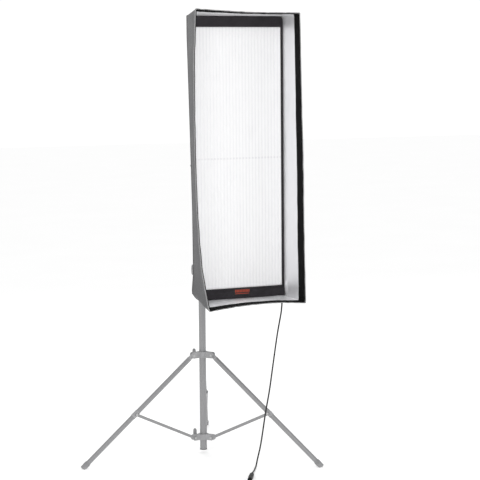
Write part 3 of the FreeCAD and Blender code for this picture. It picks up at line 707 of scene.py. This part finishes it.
plate_low, plate_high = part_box("hub_plate")
LIGHT = Vector(((plate_low.x + plate_high.x) / 2, 0.0, (plate_low.z + plate_high.z) / 2))
MAT_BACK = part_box("mat_backing")[1].y
rod_black = Finish("rod_black", Roughness=0.3, Coat_Roughness=0.15, Coat_IOR=1.5)
rod_place = rod_black.place()
rod_threads = rod_black.clouds(rod_black.stretched(rod_place, (1.0, 1.0, 0.08)), 420.0, 3.0)
rod_black.feed("Base Color", rod_black.mix(rod_threads, grey(0.008), grey(0.026)))
rod_black.feed("Coat Weight", rod_black.ramp(rod_threads, 0.3, 0.7, 0.3, 0.6))
rod_black.bump(rod_threads, 0.00006)
for number in (1, 2, 3, 4):
    wear(rod_black, f"support_rod_{number}")

plate_rim = turned("hub_plate_rim", [(0.0, 0.0575), (0.0010, 0.0592), (0.0040, 0.0592), (0.0052, 0.0575)],
                   (LIGHT.x, MAT_BACK + 0.0334, LIGHT.z), (0.0, 1.0, 0.0), 96)
plate_step = turned("hub_plate_step", [(0.0, 0.0300), (0.0022, 0.0285), (0.0022, 0.0190)],
                    (LIGHT.x, MAT_BACK + 0.0398, LIGHT.z), (0.0, 1.0, 0.0), 72)
hub_cover = joined("hub_cover", plate_rim, plate_step)
wear(cast_black, hub_cover)
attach(hub_cover, "head")
for index in range(8):
    turn = math.pi / 4 * index + math.pi / 8
    plate_screw = cap_screw(f"hub_screw_{index + 1}", (LIGHT.x + 0.044 * math.cos(turn), plate_low.y + 0.0080,
                                                       LIGHT.z + 0.044 * math.sin(turn)), (0.0, 1.0, 0.0),
                            0.0032, 0.0016)
    wear(bright_steel, plate_screw)
    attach(plate_screw, "head")

CORNER = Vector((0.205, 0.0, 0.585))
CORNERS = ((-1, 1), (1, 1), (-1, -1), (1, -1))
for number, (side_x, side_z) in enumerate(CORNERS, start=1):
    reach = Vector((side_x * CORNER.x, 0.0, side_z * CORNER.z))
    rod_start = Vector((LIGHT.x, MAT_BACK + 0.024, LIGHT.z)) + reach * (0.030 / reach.length)
    rod_end = Vector((LIGHT.x, MAT_BACK + 0.009, LIGHT.z)) + reach
    rod_way = (rod_end - rod_start).normalized()
    ferrule = turned(f"rod_ferrule_{number}", [(0.0, 0.0070), (0.0006, 0.0076), (0.0090, 0.0076),
                                               (0.0130, 0.0052), (0.0180, 0.0046), (0.0182, 0.0041)],
                     rod_start + rod_way * 0.0395,
                     rod_way, 32)
    wear(bright_steel, ferrule)
    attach(ferrule, "head")
    wrap = tube_along(f"rod_grip_{number}", [rod_end - rod_way * step for step in
                                             (0.090, 0.088, 0.050, 0.024, 0.022)], 0.0049, 20)
    wear(black_moulding, wrap)
    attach(wrap, "head")


# ------------------------------------------------------------------ corner pockets
# Pockets of doubled nylon sewn to the back of the mat. Each takes a rod's tip, is open towards the
# hub, and has a bound edge and a row of stitches round it.

def nylon(name, dark, light, ripstop=0.0, rough=(0.62, 0.82), patch=14.0):
    """Coated nylon: a plain weave, sometimes with a ripstop grid, a faint wrinkle and uneven dye."""
    finish = Finish(name, Sheen_Weight=0.04, Sheen_Roughness=0.5, Specular_IOR_Level=0.3)
    spot = finish.place("UV")
    across, up = finish.axis(spot, 0), finish.axis(spot, 1)
    weave = (across * 5200.0).sine() * (up * 5200.0).sine()
    dye = finish.clouds(finish.place(), patch, 5.0, 0.6)
    tone = finish.ramp(dye, 0.3, 0.75)
    if ripstop:
        lines = (abs((across * ripstop).sine()) > 0.985) + (abs((up * ripstop).sine()) > 0.985)
        tone = tone * 0.8 + lines * 0.2
        finish.bump(lines, 0.0001, 0.5)
    finish.feed("Base Color", finish.mix(tone, dark, light))
    finish.feed("Roughness", finish.ramp(dye, 0.3, 0.7, rough[0], rough[1]))
    finish.bump(weave, 0.00012, 0.6)
    finish.bump(finish.clouds(finish.place(), 38.0, 4.0, 0.55), 0.0016, 0.45)
    return finish


def stitches(name, line, normal, pitch=0.0034, length=0.0024, thick=0.0007, closed=False):
    """A row of stitches along a line of points; normal gives the way out of the cloth at a point."""
    corners = line + line[:1] if closed else line
    vertices, faces = [], []
    left_over = 0.0
    for first, second in zip(corners, corners[1:]):
        run = second - first
        if run.length < 1e-7:
            continue
        along = run.normalized()
        at = left_over
        while at < run.length:
            centre = first + along * at
            out = normal(centre)
            out = (out - along * out.dot(along)).normalized()
            side = along.cross(out)
            base = len(vertices)
            vertices += [centre - along * length / 2, centre + along * length / 2, centre + side * thick / 2,
                         centre - side * thick / 2, centre + out * thick * 0.7, centre - out * thick * 0.3]
            faces += [(base + a, base + b, base + c) for a, b, c in
                      ((0, 4, 3), (4, 1, 3), (0, 2, 4), (4, 2, 1), (0, 3, 5), (5, 3, 1), (0, 5, 2),
                       (5, 1, 2))]
            at += pitch
        left_over = at - run.length
    mesh = bpy.data.meshes.new(name)
    mesh.from_pydata([tuple(vertex) for vertex in vertices], [], faces)
    mesh.validate()
    piece = bpy.data.objects.new(name, mesh)
    scene.collection.objects.link(piece)
    alone(piece)
    bpy.ops.object.mode_set(mode="EDIT")
    bpy.ops.mesh.select_all(action="SELECT")
    bpy.ops.mesh.normals_make_consistent(inside=False)
    bpy.ops.object.mode_set(mode="OBJECT")
    return piece


def backwards(place):
    """Way out of the mat's back, the same at every place."""
    return Vector((0.0, 1.0, 0.0))


def forwards(place):
    """Way out of the mat's front, the same at every place."""
    return Vector((0.0, -1.0, 0.0))


def thread(name, tone):
    finish = Finish(name, Roughness=0.6)
    finish.feed("Base Color", finish.mix(finish.clouds(finish.place(), 300.0), grey(tone * 0.7),
                                         grey(tone * 1.3)))
    return finish


dark_thread = thread("dark_thread", 0.05)
grey_thread = thread("grey_thread", 0.16)
pocket_nylon = nylon("pocket_nylon", grey(0.016), grey(0.032), 0.0, (0.6, 0.8), 60.0)
pocket_pieces = []
pocket_lines = []
for side_x, side_z in CORNERS:
    centre = Vector((LIGHT.x + side_x * CORNER.x, MAT_BACK, LIGHT.z + side_z * CORNER.z))
    half = 0.0145 if (side_x, side_z) == (-1, -1) else 0.0185
    way_in = Vector((-side_x * CORNER.x, 0.0, -side_z * CORNER.z)).normalized()
    rows = []
    for i in range(25):
        u = i / 12 - 1
        row = []
        for j in range(25):
            v = j / 12 - 1
            edge = max(abs(u), abs(v))
            swell = 0.28 * math.cos(math.pi * 0.5 * (u * way_in.z - v * way_in.x))
            roll = 0.0125 * (1 - edge ** 6) * (0.72 + swell)
            wrinkle = 0.0006 * noise.noise(Vector((u * 3 + side_x, v * 3, side_z)))
            row.append(centre + Vector((u * half, 0.0006 + roll + wrinkle, v * half)))
        rows.append(row)
    pocket_pieces.append(woven_sheet("pocket", rows, towards=backwards, thickness=0.0006))
    pocket_lines.append([centre + Vector((x * (half - 0.0017), 0.0072, z * (half - 0.0017))) for x, z in
                         ((-1, -1), (1, -1), (1, 1), (-1, 1))])
pockets = joined("sewn_pockets", *pocket_pieces)
wear(pocket_nylon, pockets)
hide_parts("corner_pockets")
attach(pockets, "head")
for index, corners in enumerate(pocket_lines, start=1):
    seam = stitches(f"pocket_stitches_{index}", corners, backwards, closed=True)
    wear(grey_thread, seam)
    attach(seam, "head")


# ------------------------------------------------------------------ mat back and LED board
# The mat's back is one piece of coated nylon with a fold line across its middle and quilting seams
# that hold the LED strips. A tape is sewn round its edge. The board is white, with copper strips.

back_low, back_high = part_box("mat_backing")
board_low, board_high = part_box("led_board")
MAT_HALF = Vector(((back_high.x - back_low.x) / 2, 0.0, (back_high.z - back_low.z) / 2))


DRAWN_IN = ((0.0, 0.012), (0.036, 0.011), (0.10, 0.018), (0.32, 0.017), (0.54, 0.0115), (0.75, 0.0055),
            (0.93, 0.0), (1.0, 0.0))
CORNER_SLACK = 0.058


def between(points, along):
    """Value at a part of the way along listed (part, value) points, straight between each two of them."""
    for (a, at_a), (b, at_b) in zip(points, points[1:]):
        if along <= b:
            step = max(0.0, (along - a) / (b - a))
            return at_a + (at_b - at_a) * step
    return points[-1][1]


def slackened(point, depth=0.0, corner=None):
    """Where the slack left edge and rounded lower left corner bring a point of the mat or sleeve."""
    corner = corner or Vector((back_low.x, 0.0, back_low.z))
    up = min(1.0, max(0.0, (point.z - back_low.z) / (back_high.z - back_low.z)))
    share = min(1.0, max(0.0, (LIGHT.x - point.x) / MAT_HALF.x)) * (1 - depth)
    pull = between(DRAWN_IN, up) * share
    radius = CORNER_SLACK * (1 - depth)
    if radius < 0.001:
        return point
    a = (corner.x + radius - point.x) / radius
    b = (corner.z + radius - point.z) / radius
    if a > 0 and b > 0:
        a, b = (a * math.sqrt(max(0.0, 1 - min(b, 1.0) ** 2 / 2)),
                b * math.sqrt(max(0.0, 1 - min(a, 1.0) ** 2 / 2)))
        return Vector((corner.x + radius * (1 - a) + pull, point.y, corner.z + radius * (1 - b)))
    return Vector((point.x + pull, point.y, point.z))


def straight_rows(low, high, across, up, y_at):
    """Rows of points over an upright rectangle; y_at gives the depth at x and z."""
    rows = []
    for i in range(up + 1):
        z = low.z + (high.z - low.z) * i / up
        rows.append([slackened(Vector((x, y_at(x, z), z))) for x in
                     (low.x + (high.x - low.x) * j / across for j in range(across + 1))])
    return rows


def quilted(x, z):
    """Back of the mat: shallow pillows between seams, and a deeper line at the middle fold."""
    across = (x - back_low.x) / (back_high.x - back_low.x) * 4
    up = (z - back_low.z) / (back_high.z - back_low.z) * 8
    pillow = (abs(math.sin(math.pi * across)) * abs(math.sin(math.pi * up))) ** 0.35
    fold = math.exp(-((z - LIGHT.z) / 0.004) ** 2)
    ripple = noise.noise(Vector((x * 9, 0.0, z * 7)))
    return MAT_BACK - 0.0012 + 0.0016 * pillow - 0.0008 * fold + 0.0006 * ripple


mat_nylon = nylon("mat_nylon", grey(0.018, 1.0, 0.98, 1.05), grey(0.034, 1.0, 0.98, 1.05), 620.0)
inset_low = Vector((back_low.x + 0.001, 0.0, back_low.z + 0.001))
inset_high = Vector((back_high.x - 0.001, 0.0, back_high.z - 0.001))
mat_back = woven_sheet("mat_back_cloth", straight_rows(inset_low, inset_high, 96, 220, quilted),
                       towards=backwards, thickness=0.0011)
wear(mat_nylon, mat_back)
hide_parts("mat_backing")
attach(mat_back, "head")

QUILT_PANELS = 8
for index in range(1, QUILT_PANELS):
    height = back_low.z + (back_high.z - back_low.z) * index / QUILT_PANELS
    seam_line = [slackened(Vector((x, quilted(x, height) + 0.0002, height))) for x in
                 (inset_low.x + (inset_high.x - inset_low.x) * step / 60 for step in range(61))]
    seam = stitches(f"mat_back_seam_{index}", seam_line, backwards, 0.0042, 0.0030)
    wear(dark_thread, seam)
    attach(seam, "head")

board_white = Finish("board_white", Roughness=0.45)
board_place = board_white.place()
board_rows = abs((board_white.axis(board_place, 2) * 190.0).sine()) > 0.9
board_columns = abs((board_white.axis(board_place, 0) * 200.0).sine()) > 0.93
board_white.feed("Base Color", board_white.mix(board_rows * board_columns, grey(0.82),
                                               (0.75, 0.62, 0.25, 1.0)))
board = woven_sheet("led_strips", straight_rows(board_low, board_high, 40, 80, lambda x, z: board_low.y),
                    towards=forwards, thickness=0.0010)
wear(board_white, board)
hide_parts("led_board")
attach(board, "head")


# ------------------------------------------------------------------ diffusion cloth
# White ripstop cloth stretched over the LEDs. The strips behind it show as faint upright flutes,
# and a row of stitches crosses it at the fold. Its cut size is 440 x 1166 mm.

FLUTES = 28
cloth_low, cloth_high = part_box("diffusion_cloth")


def fluted(x, z):
    """Front of the cloth: shallow flutes, a sewn line at the fold and a slack ripple near the top."""
    across = (x - cloth_low.x) / (cloth_high.x - cloth_low.x)
    up = (z - cloth_low.z) / (cloth_high.z - cloth_low.z)
    flute = abs(math.sin(math.pi * across * FLUTES)) ** 0.7
    seam = math.exp(-((z - LIGHT.z - 0.0) / 0.003) ** 2)
    slack = noise.noise(Vector((x * 14, 1.0, z * 10))) * (0.35 + 0.65 * max(0.0, up * 5 - 4))
    edge = min(1.0, 12 * min(across, 1 - across)) * min(1.0, 30 * min(up, 1 - up))
    return cloth_low.y - (0.0011 * flute + 0.0012 * slack) * edge * (1 - 0.7 * seam) + 0.0004


diffusion = Finish("diffusion_white", Roughness=0.7, Specular_IOR_Level=0.2, Emission_Strength=0.19)
diffusion_place = diffusion.place()
# Painted light: the cloth's base colour is lighter over the LED strips and darker in the grooves between
# them, as painted glow and painted shade; its glow follows the same bands.
strip_glow_and_groove_shade = abs((diffusion.axis(diffusion_place, 0) * (math.pi * FLUTES / 0.440) -
              (math.pi * FLUTES / 0.440) * cloth_low.x).sine()) ** 0.4
fold_height = abs(diffusion.axis(diffusion_place, 2) - LIGHT.z)
dashes = (fold_height < 0.0042) * (abs((diffusion.axis(diffusion_place, 0) * 205.0).sine()) > 0.45)
crumple = diffusion.clouds(diffusion.stretched(diffusion_place, (1.0, 1.0, 0.6)), 16.0, 5.0, 0.6)
cloth_tone_with_painted_strip_light = strip_glow_and_groove_shade * 0.55 + crumple * 0.45 - dashes * 0.35
diffusion.feed("Base Color", diffusion.mix(diffusion.ramp(cloth_tone_with_painted_strip_light, 0.05, 0.7), grey(0.66, 1.0, 1.0, 1.03),
                                           grey(0.80, 1.0, 1.0, 1.01)))
diffusion.feed("Emission Color", diffusion.mix(diffusion.ramp(cloth_tone_with_painted_strip_light, 0.05, 0.7),
                                               grey(0.80, 1.0, 1.0, 1.02),
                                               grey(1.0)))
diffusion.bump(diffusion.clouds(diffusion_place, 55.0, 5.0, 0.6), 0.0012, 0.5)
cloth = woven_sheet("diffusion_front", straight_rows(cloth_low, cloth_high, FLUTES * 8, 120, fluted),
                    towards=forwards, thickness=0.0005)
wear(diffusion, cloth)
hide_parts("diffusion_cloth")
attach(cloth, "head")


# ------------------------------------------------------------------ mat border
# Black twill border sewn round the cloth, 48 mm at the top and bottom and 11 mm at the sides. Its
# inner edge is rolled into a hem, and its lower right corner has come loose and curls forward.

def rounded_loop(half_x, half_z, radius, per_side, per_end, per_corner=6):
    """Points round an upright rectangle with round corners, from the lower left, up the left side."""
    loop = []
    corners = ((-1, -1), (-1, 1), (1, 1), (1, -1))
    for index, (side_x, side_z) in enumerate(corners):
        following = corners[(index + 1) % 4]
        middle = Vector((side_x * (half_x - radius), 0.0, side_z * (half_z - radius)))
        start_turn = (1.5 - index * 0.5) * math.pi if index else 1.5 * math.pi
        for step in range(per_corner + 1):
            turn = start_turn - (math.pi / 2) * step / per_corner
            loop.append(middle + Vector((math.cos(turn) * radius, 0.0, math.sin(turn) * radius)))
        count = per_side if index in (0, 2) else per_end
        next_middle = Vector((following[0] * (half_x - radius), 0.0, following[1] * (half_z - radius)))
        leave = loop[-1]
        shift = next_middle - middle
        for step in range(1, count):
            loop.append(leave + shift * step / count)
    return loop


twill = Finish("border_twill", Sheen_Weight=0.02, Sheen_Roughness=0.4, Specular_IOR_Level=0.25)
twill_uv = twill.place("UV")
twill_lines = ((twill.axis(twill_uv, 0) + twill.axis(twill_uv, 1)) * 3600.0).sine()
twill_dye = twill.clouds(twill.place(), 22.0, 5.0, 0.6)
twill.feed("Base Color", twill.mix(twill.ramp(twill_dye, 0.3, 0.75), grey(0.020, 1.08, 0.98, 1.12),
                                   grey(0.038, 1.08, 0.98, 1.12)))
twill.feed("Roughness", twill.ramp(twill_dye, 0.3, 0.7, 0.66, 0.84))
twill.bump(twill_lines, 0.00014, 0.6)
twill.bump(twill.clouds(twill.place(), 42.0, 4.0, 0.55), 0.0014, 0.4)

BORDER_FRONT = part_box("mat_border")[0].y
BORDER_STEPS = [(0.0, 0.0), (0.04, 0.0014), (0.10, 0.0022), (0.17, 0.0020), (0.22, 0.0009), (0.30, 0.0007),
                (0.42, 0.0009), (0.55, 0.0010), (0.68, 0.0009), (0.80, 0.0008), (0.87, 0.0016),
                (0.94, 0.0019),
                (1.0, 0.0004)]
inner_loop = rounded_loop(0.2195, 0.5825, 0.003, 120, 60)
outer_loop = rounded_loop(MAT_HALF.x, MAT_HALF.z, 0.016, 120, 60)
border_rows = []
for part, raised in BORDER_STEPS:
    row = []
    for inner, outer in zip(inner_loop, outer_loop):
        point = inner.lerp(outer, part)
        swell = noise.noise(Vector((point.x * 16, 2.0, point.z * 12)))
        ripple = 0.0009 * swell * min(1.0, 4 * part * (1.2 - part))
        corner = Vector((point.x - MAT_HALF.x, 0.0, point.z + MAT_HALF.z))
        loose = max(0.0, 1.0 - corner.length / 0.065) ** 1.3
        row.append(slackened(Vector((LIGHT.x + point.x - 0.003 * loose,
                                     BORDER_FRONT - raised - ripple - 0.017 * loose,
                                     LIGHT.z + point.z + 0.002 * loose))))
    border_rows.append(row)
border = woven_sheet("mat_border_twill", border_rows, closed=True, towards=forwards,
                     thickness=0.0007)
wear(twill, border)
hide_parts("mat_border")
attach(border, "head")

loose_corner = Vector((MAT_HALF.x, 0.0, -MAT_HALF.z))
for index, (half_x, half_z) in enumerate(((0.2262, 0.5905), (0.2280, 0.6275)), start=1):
    seam_loop = rounded_loop(half_x, half_z, 0.008, 60, 30)
    nearest = min(range(len(seam_loop)), key=lambda place: (seam_loop[place] - loose_corner).length)
    seam_loop = seam_loop[nearest:] + seam_loop[:nearest]
    seam_line = [slackened(Vector((LIGHT.x + point.x, BORDER_FRONT - 0.0010, LIGHT.z + point.z)))
                 for point in seam_loop if (point - loose_corner).length > 0.06]
    seam = stitches(f"border_stitches_{index}", seam_line, forwards)
    wear(dark_thread, seam)
    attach(seam, "head")

# ------------------------------------------------------------------ woven tag
# Small folded tag sewn on the lower border: black ground with plain orange-red bars, no lettering.

TAG_MIDDLE = Vector((LIGHT.x + 0.0205, BORDER_FRONT - 0.0016, LIGHT.z - 0.6009))
tag_rows = []
for i in range(9):
    z = (i / 8 - 0.5) * 0.034
    tag_rows.append([TAG_MIDDLE + Vector(((j / 24 - 0.5) * 0.086, -0.0006 - 0.0004 * math.cos(j * 0.5) -
                                          0.0003 * math.cos(i * 0.9), z)) for j in range(25)])
tag = woven_sheet("woven_tag", tag_rows, towards=forwards, thickness=0.0008)
tag_cloth = Finish("tag_cloth", Roughness=0.75)
tag_uv = tag_cloth.place("UV")
tag_across, tag_up = tag_cloth.axis(tag_uv, 0), tag_cloth.axis(tag_uv, 1)
bars = ((abs(tag_up - 0.0205) < 0.0062) * (abs((tag_across * 420.0).sine()) > 0.35)
        * (abs(tag_across - 0.043) < 0.036))
thin_bar = (abs(tag_up - 0.0085) < 0.0014) * (abs(tag_across - 0.043) < 0.034)
tag_cloth.feed("Base Color", tag_cloth.mix(bars + thin_bar, grey(0.022, 1.1, 0.98, 1.0),
                                           (0.42, 0.055, 0.025, 1.0)))
tag_cloth.bump((tag_across * 9000.0).sine() * (tag_up * 9000.0).sine(), 0.00012, 0.6)
wear(tag_cloth, tag)
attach(tag, "head")


# ------------------------------------------------------------------ softbox skirt, outer cloth
# Four walls of coated black nylon sewn into a sleeve that opens from the mat's edge to the rim. Its
# front edge strays in and out because only its corners are braced.

RIM_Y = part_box("rim_band")[0].y
BACK_Y = back_low.y
WALL = 0.0025
BACK_HALF = Vector((MAT_HALF.x + WALL, 0.0, MAT_HALF.z + WALL))
RIM_HALF = Vector((0.242, 0.0, 0.652))
STRAY = {
    "left": ((0.0, 0.022), (0.06, 0.006), (0.14, -0.012), (0.3, -0.029), (0.52, -0.038), (0.83, -0.038),
             (1.0, -0.028)),
    "right": ((0.0, 0.008), (0.25, 0.002), (0.5, -0.001), (0.7, -0.007), (1.0, -0.014)),
    "bottom": ((0.0, -0.002), (0.35, 0.013), (0.7, 0.016), (1.0, 0.006)),
    "top": ((0.0, 0.004), (0.5, -0.009), (1.0, -0.011)),
}


def strays(side, along):
    """How far the rim strays at a part of a side, along a smooth line through the listed points."""
    points = STRAY[side]
    for index in range(len(points) - 1):
        (a, at_a), (b, at_b) = points[index], points[index + 1]
        if along <= b or index == len(points) - 2:
            before = points[max(index - 1, 0)]
            after = points[min(index + 2, len(points) - 1)]
            slope_a = (at_b - before[1]) / max(b - before[0], 1e-6) * (b - a)
            slope_b = (after[1] - at_a) / max(after[0] - a, 1e-6) * (b - a)
            t = (along - a) / (b - a)
            return ((2 * t ** 3 - 3 * t ** 2 + 1) * at_a + (t ** 3 - 2 * t ** 2 + t) * slope_a +
                    (3 * t ** 2 - 2 * t ** 3) * at_b + (t ** 3 - t ** 2) * slope_b)


def wall_corners(depth, inset):
    """The four corners of the sleeve at a depth, 0 at the mat and 1 at the rim, lower left first."""
    half_x = BACK_HALF.x + (RIM_HALF.x - BACK_HALF.x) * depth - inset
    half_z = BACK_HALF.z + (RIM_HALF.z - BACK_HALF.z) * depth - inset
    y = BACK_Y + (RIM_Y - BACK_Y) * depth
    corners = []
    for side_x, side_z in ((-1, -1), (-1, 1), (1, 1), (1, -1)):
        upright, level = "left" if side_x < 0 else "right", "bottom" if side_z < 0 else "top"
        x = side_x * half_x + strays(upright, 0.0 if side_z < 0 else 1.0) * depth
        z = side_z * half_z + strays(level, 0.0 if side_x < 0 else 1.0) * depth
        corners.append(Vector((LIGHT.x + x, y, LIGHT.z + z)))
    return corners


# Pleat in the lining where its right and bottom walls meet: how far it lies from the corner, how far
# into the sleeve, and how wide it is each way.
PLEAT_REACH, PLEAT_WIDTH = 0.040, 0.036
PLEAT_DEPTH, PLEAT_SPREAD = 0.13, 0.055


def wall_loop(depth, inset, folds=0.0, per_side=150, per_end=56):
    """Points round the sleeve at a depth, inset from its outer face; folds crease the cloth inwards."""
    corners = wall_corners(depth, inset)
    half_x = BACK_HALF.x + (RIM_HALF.x - BACK_HALF.x) * depth - inset
    half_z = BACK_HALF.z + (RIM_HALF.z - BACK_HALF.z) * depth - inset
    loop = []
    for index, side in enumerate(("left", "top", "right", "bottom")):
        first, second, third = (corners[(index + step) % 4] for step in range(3))
        count = per_side if side in ("left", "right") else per_end
        out = 1 if side in ("top", "right") else -1
        rounding = 0.006 / (second - first).length
        for step in range(count):
            part = rounding + (1 - 2 * rounding) * step / (count - 1)
            point = first.lerp(second, part)
            along = part if side in ("left", "top") else 1 - part
            slack = noise.noise(Vector((point.x * 13 + 3, point.y * 17, point.z * 13)))
            bend = 1 - 2 * abs(noise.noise(Vector((point.x * 8, point.y * 11 + 3, point.z * 8))))
            sharp = max(0.0, 1 - 1.8 * abs(noise.noise(Vector((point.x * 7, point.y * 15 + 9, point.z * 7)))))
            held = max(0.0, min(1.0, 8 * depth, 6 * (1 - depth)) * min(1.0, 14 * part, 14 * (1 - part)))
            loose = max(0.0, min(1.0, 6 * depth, 9 * (0.66 - depth)))
            wave = 0.0016 * noise.noise(Vector((7.0, 2.0, along * 24 + index * 5))) * depth ** 2
            push = out * (0.0016 * (0.6 * slack + 0.5 * bend) * held + wave
                          - folds * (0.3 + 0.7 * sharp) * loose)
            if folds and side in ("right", "bottom"):
                reach = (point - corners[3]).length
                pleat = (max(0.0, 1 - ((reach - PLEAT_REACH) / PLEAT_WIDTH) ** 2)
                         * math.exp(-((depth - PLEAT_DEPTH) / PLEAT_SPREAD) ** 2))
                push -= out * (0.009 if side == "right" else 0.005) * pleat
            if side in ("left", "right"):
                point.x = LIGHT.x + out * half_x + strays(side, along) * depth + push
            else:
                point.z = LIGHT.z + out * half_z + strays(side, along) * depth + push
            loop.append(point)
        start = loop[-1]
        following = second.lerp(third, 0.006 / (third - second).length)
        for step in (0.25, 0.5, 0.75):
            loop.append(start.lerp(second, step).lerp(second.lerp(following, step), step))
    return [slackened(point, depth, corners[0]) for point in loop]


def from_axis(middle):
    """Way out of the sleeve at a point of it."""
    across, up = middle.x - LIGHT.x, middle.z - LIGHT.z
    if abs(across) / BACK_HALF.x > abs(up) / BACK_HALF.z:
        return Vector((math.copysign(1.0, across), 0.0, 0.0))
    return Vector((0.0, 0.0, math.copysign(1.0, up)))


def into_axis(middle):
    return -from_axis(middle)


DEPTHS = [step / 22 for step in range(23)]
# Painted sheen: the black nylon gets a mid-grey base colour, much lighter than the mat's and pockets' nylon,
# to stand in for the glancing light on the walls.
skirt_nylon_painted_sheen = nylon("skirt_nylon_painted_sheen", grey(0.085, 1.0, 1.0, 1.04), grey(0.125, 1.0, 1.0, 1.04), 620.0,
                    (0.55, 0.75), 7.0)
skirt = woven_sheet("skirt_cloth", [wall_loop(depth, 0.0004) for depth in DEPTHS], closed=True,
                    towards=from_axis, thickness=0.0008)
wear(skirt_nylon_painted_sheen, skirt)
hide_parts("skirt_left", "skirt_right", "skirt_bottom", "skirt_top")
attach(skirt, "head")

# ------------------------------------------------------------------ softbox skirt, silver lining
# Silver-coated cloth bagged inside the skirt to throw the light forward. It is a little longer than
# the nylon, so it creases, most of all in the corners.

lining_silver = Finish("lining_silver", Metallic=0.55, Specular_IOR_Level=0.5)
lining_place = lining_silver.place()
crackle = lining_silver.clouds(lining_place, 30.0, 4.0, 0.55)
broad = lining_silver.clouds(lining_place, 7.0, 3.0)
lining_silver.feed("Base Color", lining_silver.mix(crackle * 0.5 + broad * 0.5, grey(0.88, 1.0, 1.0, 1.02),
                                                   grey(0.97, 1.0, 1.0, 1.01)))
lining_silver.feed("Roughness", lining_silver.ramp(crackle, 0.3, 0.75, 0.38, 0.52))
lining_silver.bump(broad, 0.0020, 0.4)
lining = woven_sheet("silver_lining", [wall_loop(depth, 0.0028, 0.0012) for depth in DEPTHS], closed=True,
                     towards=into_axis, thickness=0.0004)
wear(lining_silver, lining)
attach(lining, "head")

# ------------------------------------------------------------------ rim band and bindings
# Black loop tape 56 mm wide inside the open rim, where a grid or front cloth is pressed on, a thin
# grey piping round the front edge, and tape that binds the sleeve to the mat at the back.

hook = Finish("loop_tape", Roughness=0.95, Specular_IOR_Level=0.1)
hook_place = hook.place()
pile = hook.clouds(hook_place, 1400.0, 4.0, 0.7)
hook.feed("Base Color", hook.mix(pile * 0.6 + hook.clouds(hook_place, 30.0) * 0.4, grey(0.004), grey(0.012)))
hook.bump(pile, 0.0007, 0.7)
BAND_START = 1 - 0.056 / (BACK_Y - RIM_Y)
band_depths = [BAND_START + (1 - BAND_START) * step / 12 for step in range(13)]
rim_tape = woven_sheet("rim_tape", [wall_loop(depth, 0.0040) for depth in band_depths], closed=True,
                       towards=into_axis, thickness=0.0009)
wear(hook, rim_tape)
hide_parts("rim_band")
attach(rim_tape, "head")

piping_tape = nylon("piping_tape", grey(0.26), grey(0.40), 0.0, (0.5, 0.7), 40.0)


def edge_binding(name, depth, inset, width, height, finish):
    """Rounded tape folded over an edge of the sleeve."""
    rows = []
    for turn_step in range(13):
        turn = 2 * math.pi * turn_step / 12
        d = depth + math.sin(turn) * height / (BACK_Y - RIM_Y)
        rows.append(wall_loop(d, inset + math.cos(turn) * width))
    piece = woven_sheet(name, rows[:-1] + rows[:1], closed=True)
    alone(piece)
    bpy.ops.object.mode_set(mode="EDIT")
    bpy.ops.mesh.select_all(action="SELECT")
    bpy.ops.mesh.remove_doubles(threshold=1e-6)
    bpy.ops.mesh.normals_make_consistent(inside=False)
    bpy.ops.object.mode_set(mode="OBJECT")
    wear(finish, piece)
    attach(piece, "head")
    return piece


edge_binding("rim_piping", 0.998, 0.0004, 0.0013, 0.0014, piping_tape)
edge_binding("rim_edge_tape", 0.994, 0.0050, 0.0016, 0.0020, hook)
back_tape = edge_binding("back_binding", 0.006, 0.0010, 0.0020, 0.0036, pocket_nylon)
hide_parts("skirt_flange")

for index, (depth, inset, way, spool) in enumerate((
        (0.985, 0.0002, from_axis, grey_thread), (BAND_START + 0.015, 0.0002, from_axis, dark_thread),
        (0.975, 0.0041, into_axis, grey_thread), (BAND_START + 0.012, 0.0041, into_axis, dark_thread),
        (0.040, 0.0002, from_axis, dark_thread)), start=1):
    seam = stitches(f"skirt_stitches_{index}", wall_loop(depth, inset), way, closed=True)
    wear(spool, seam)
    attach(seam, "head")
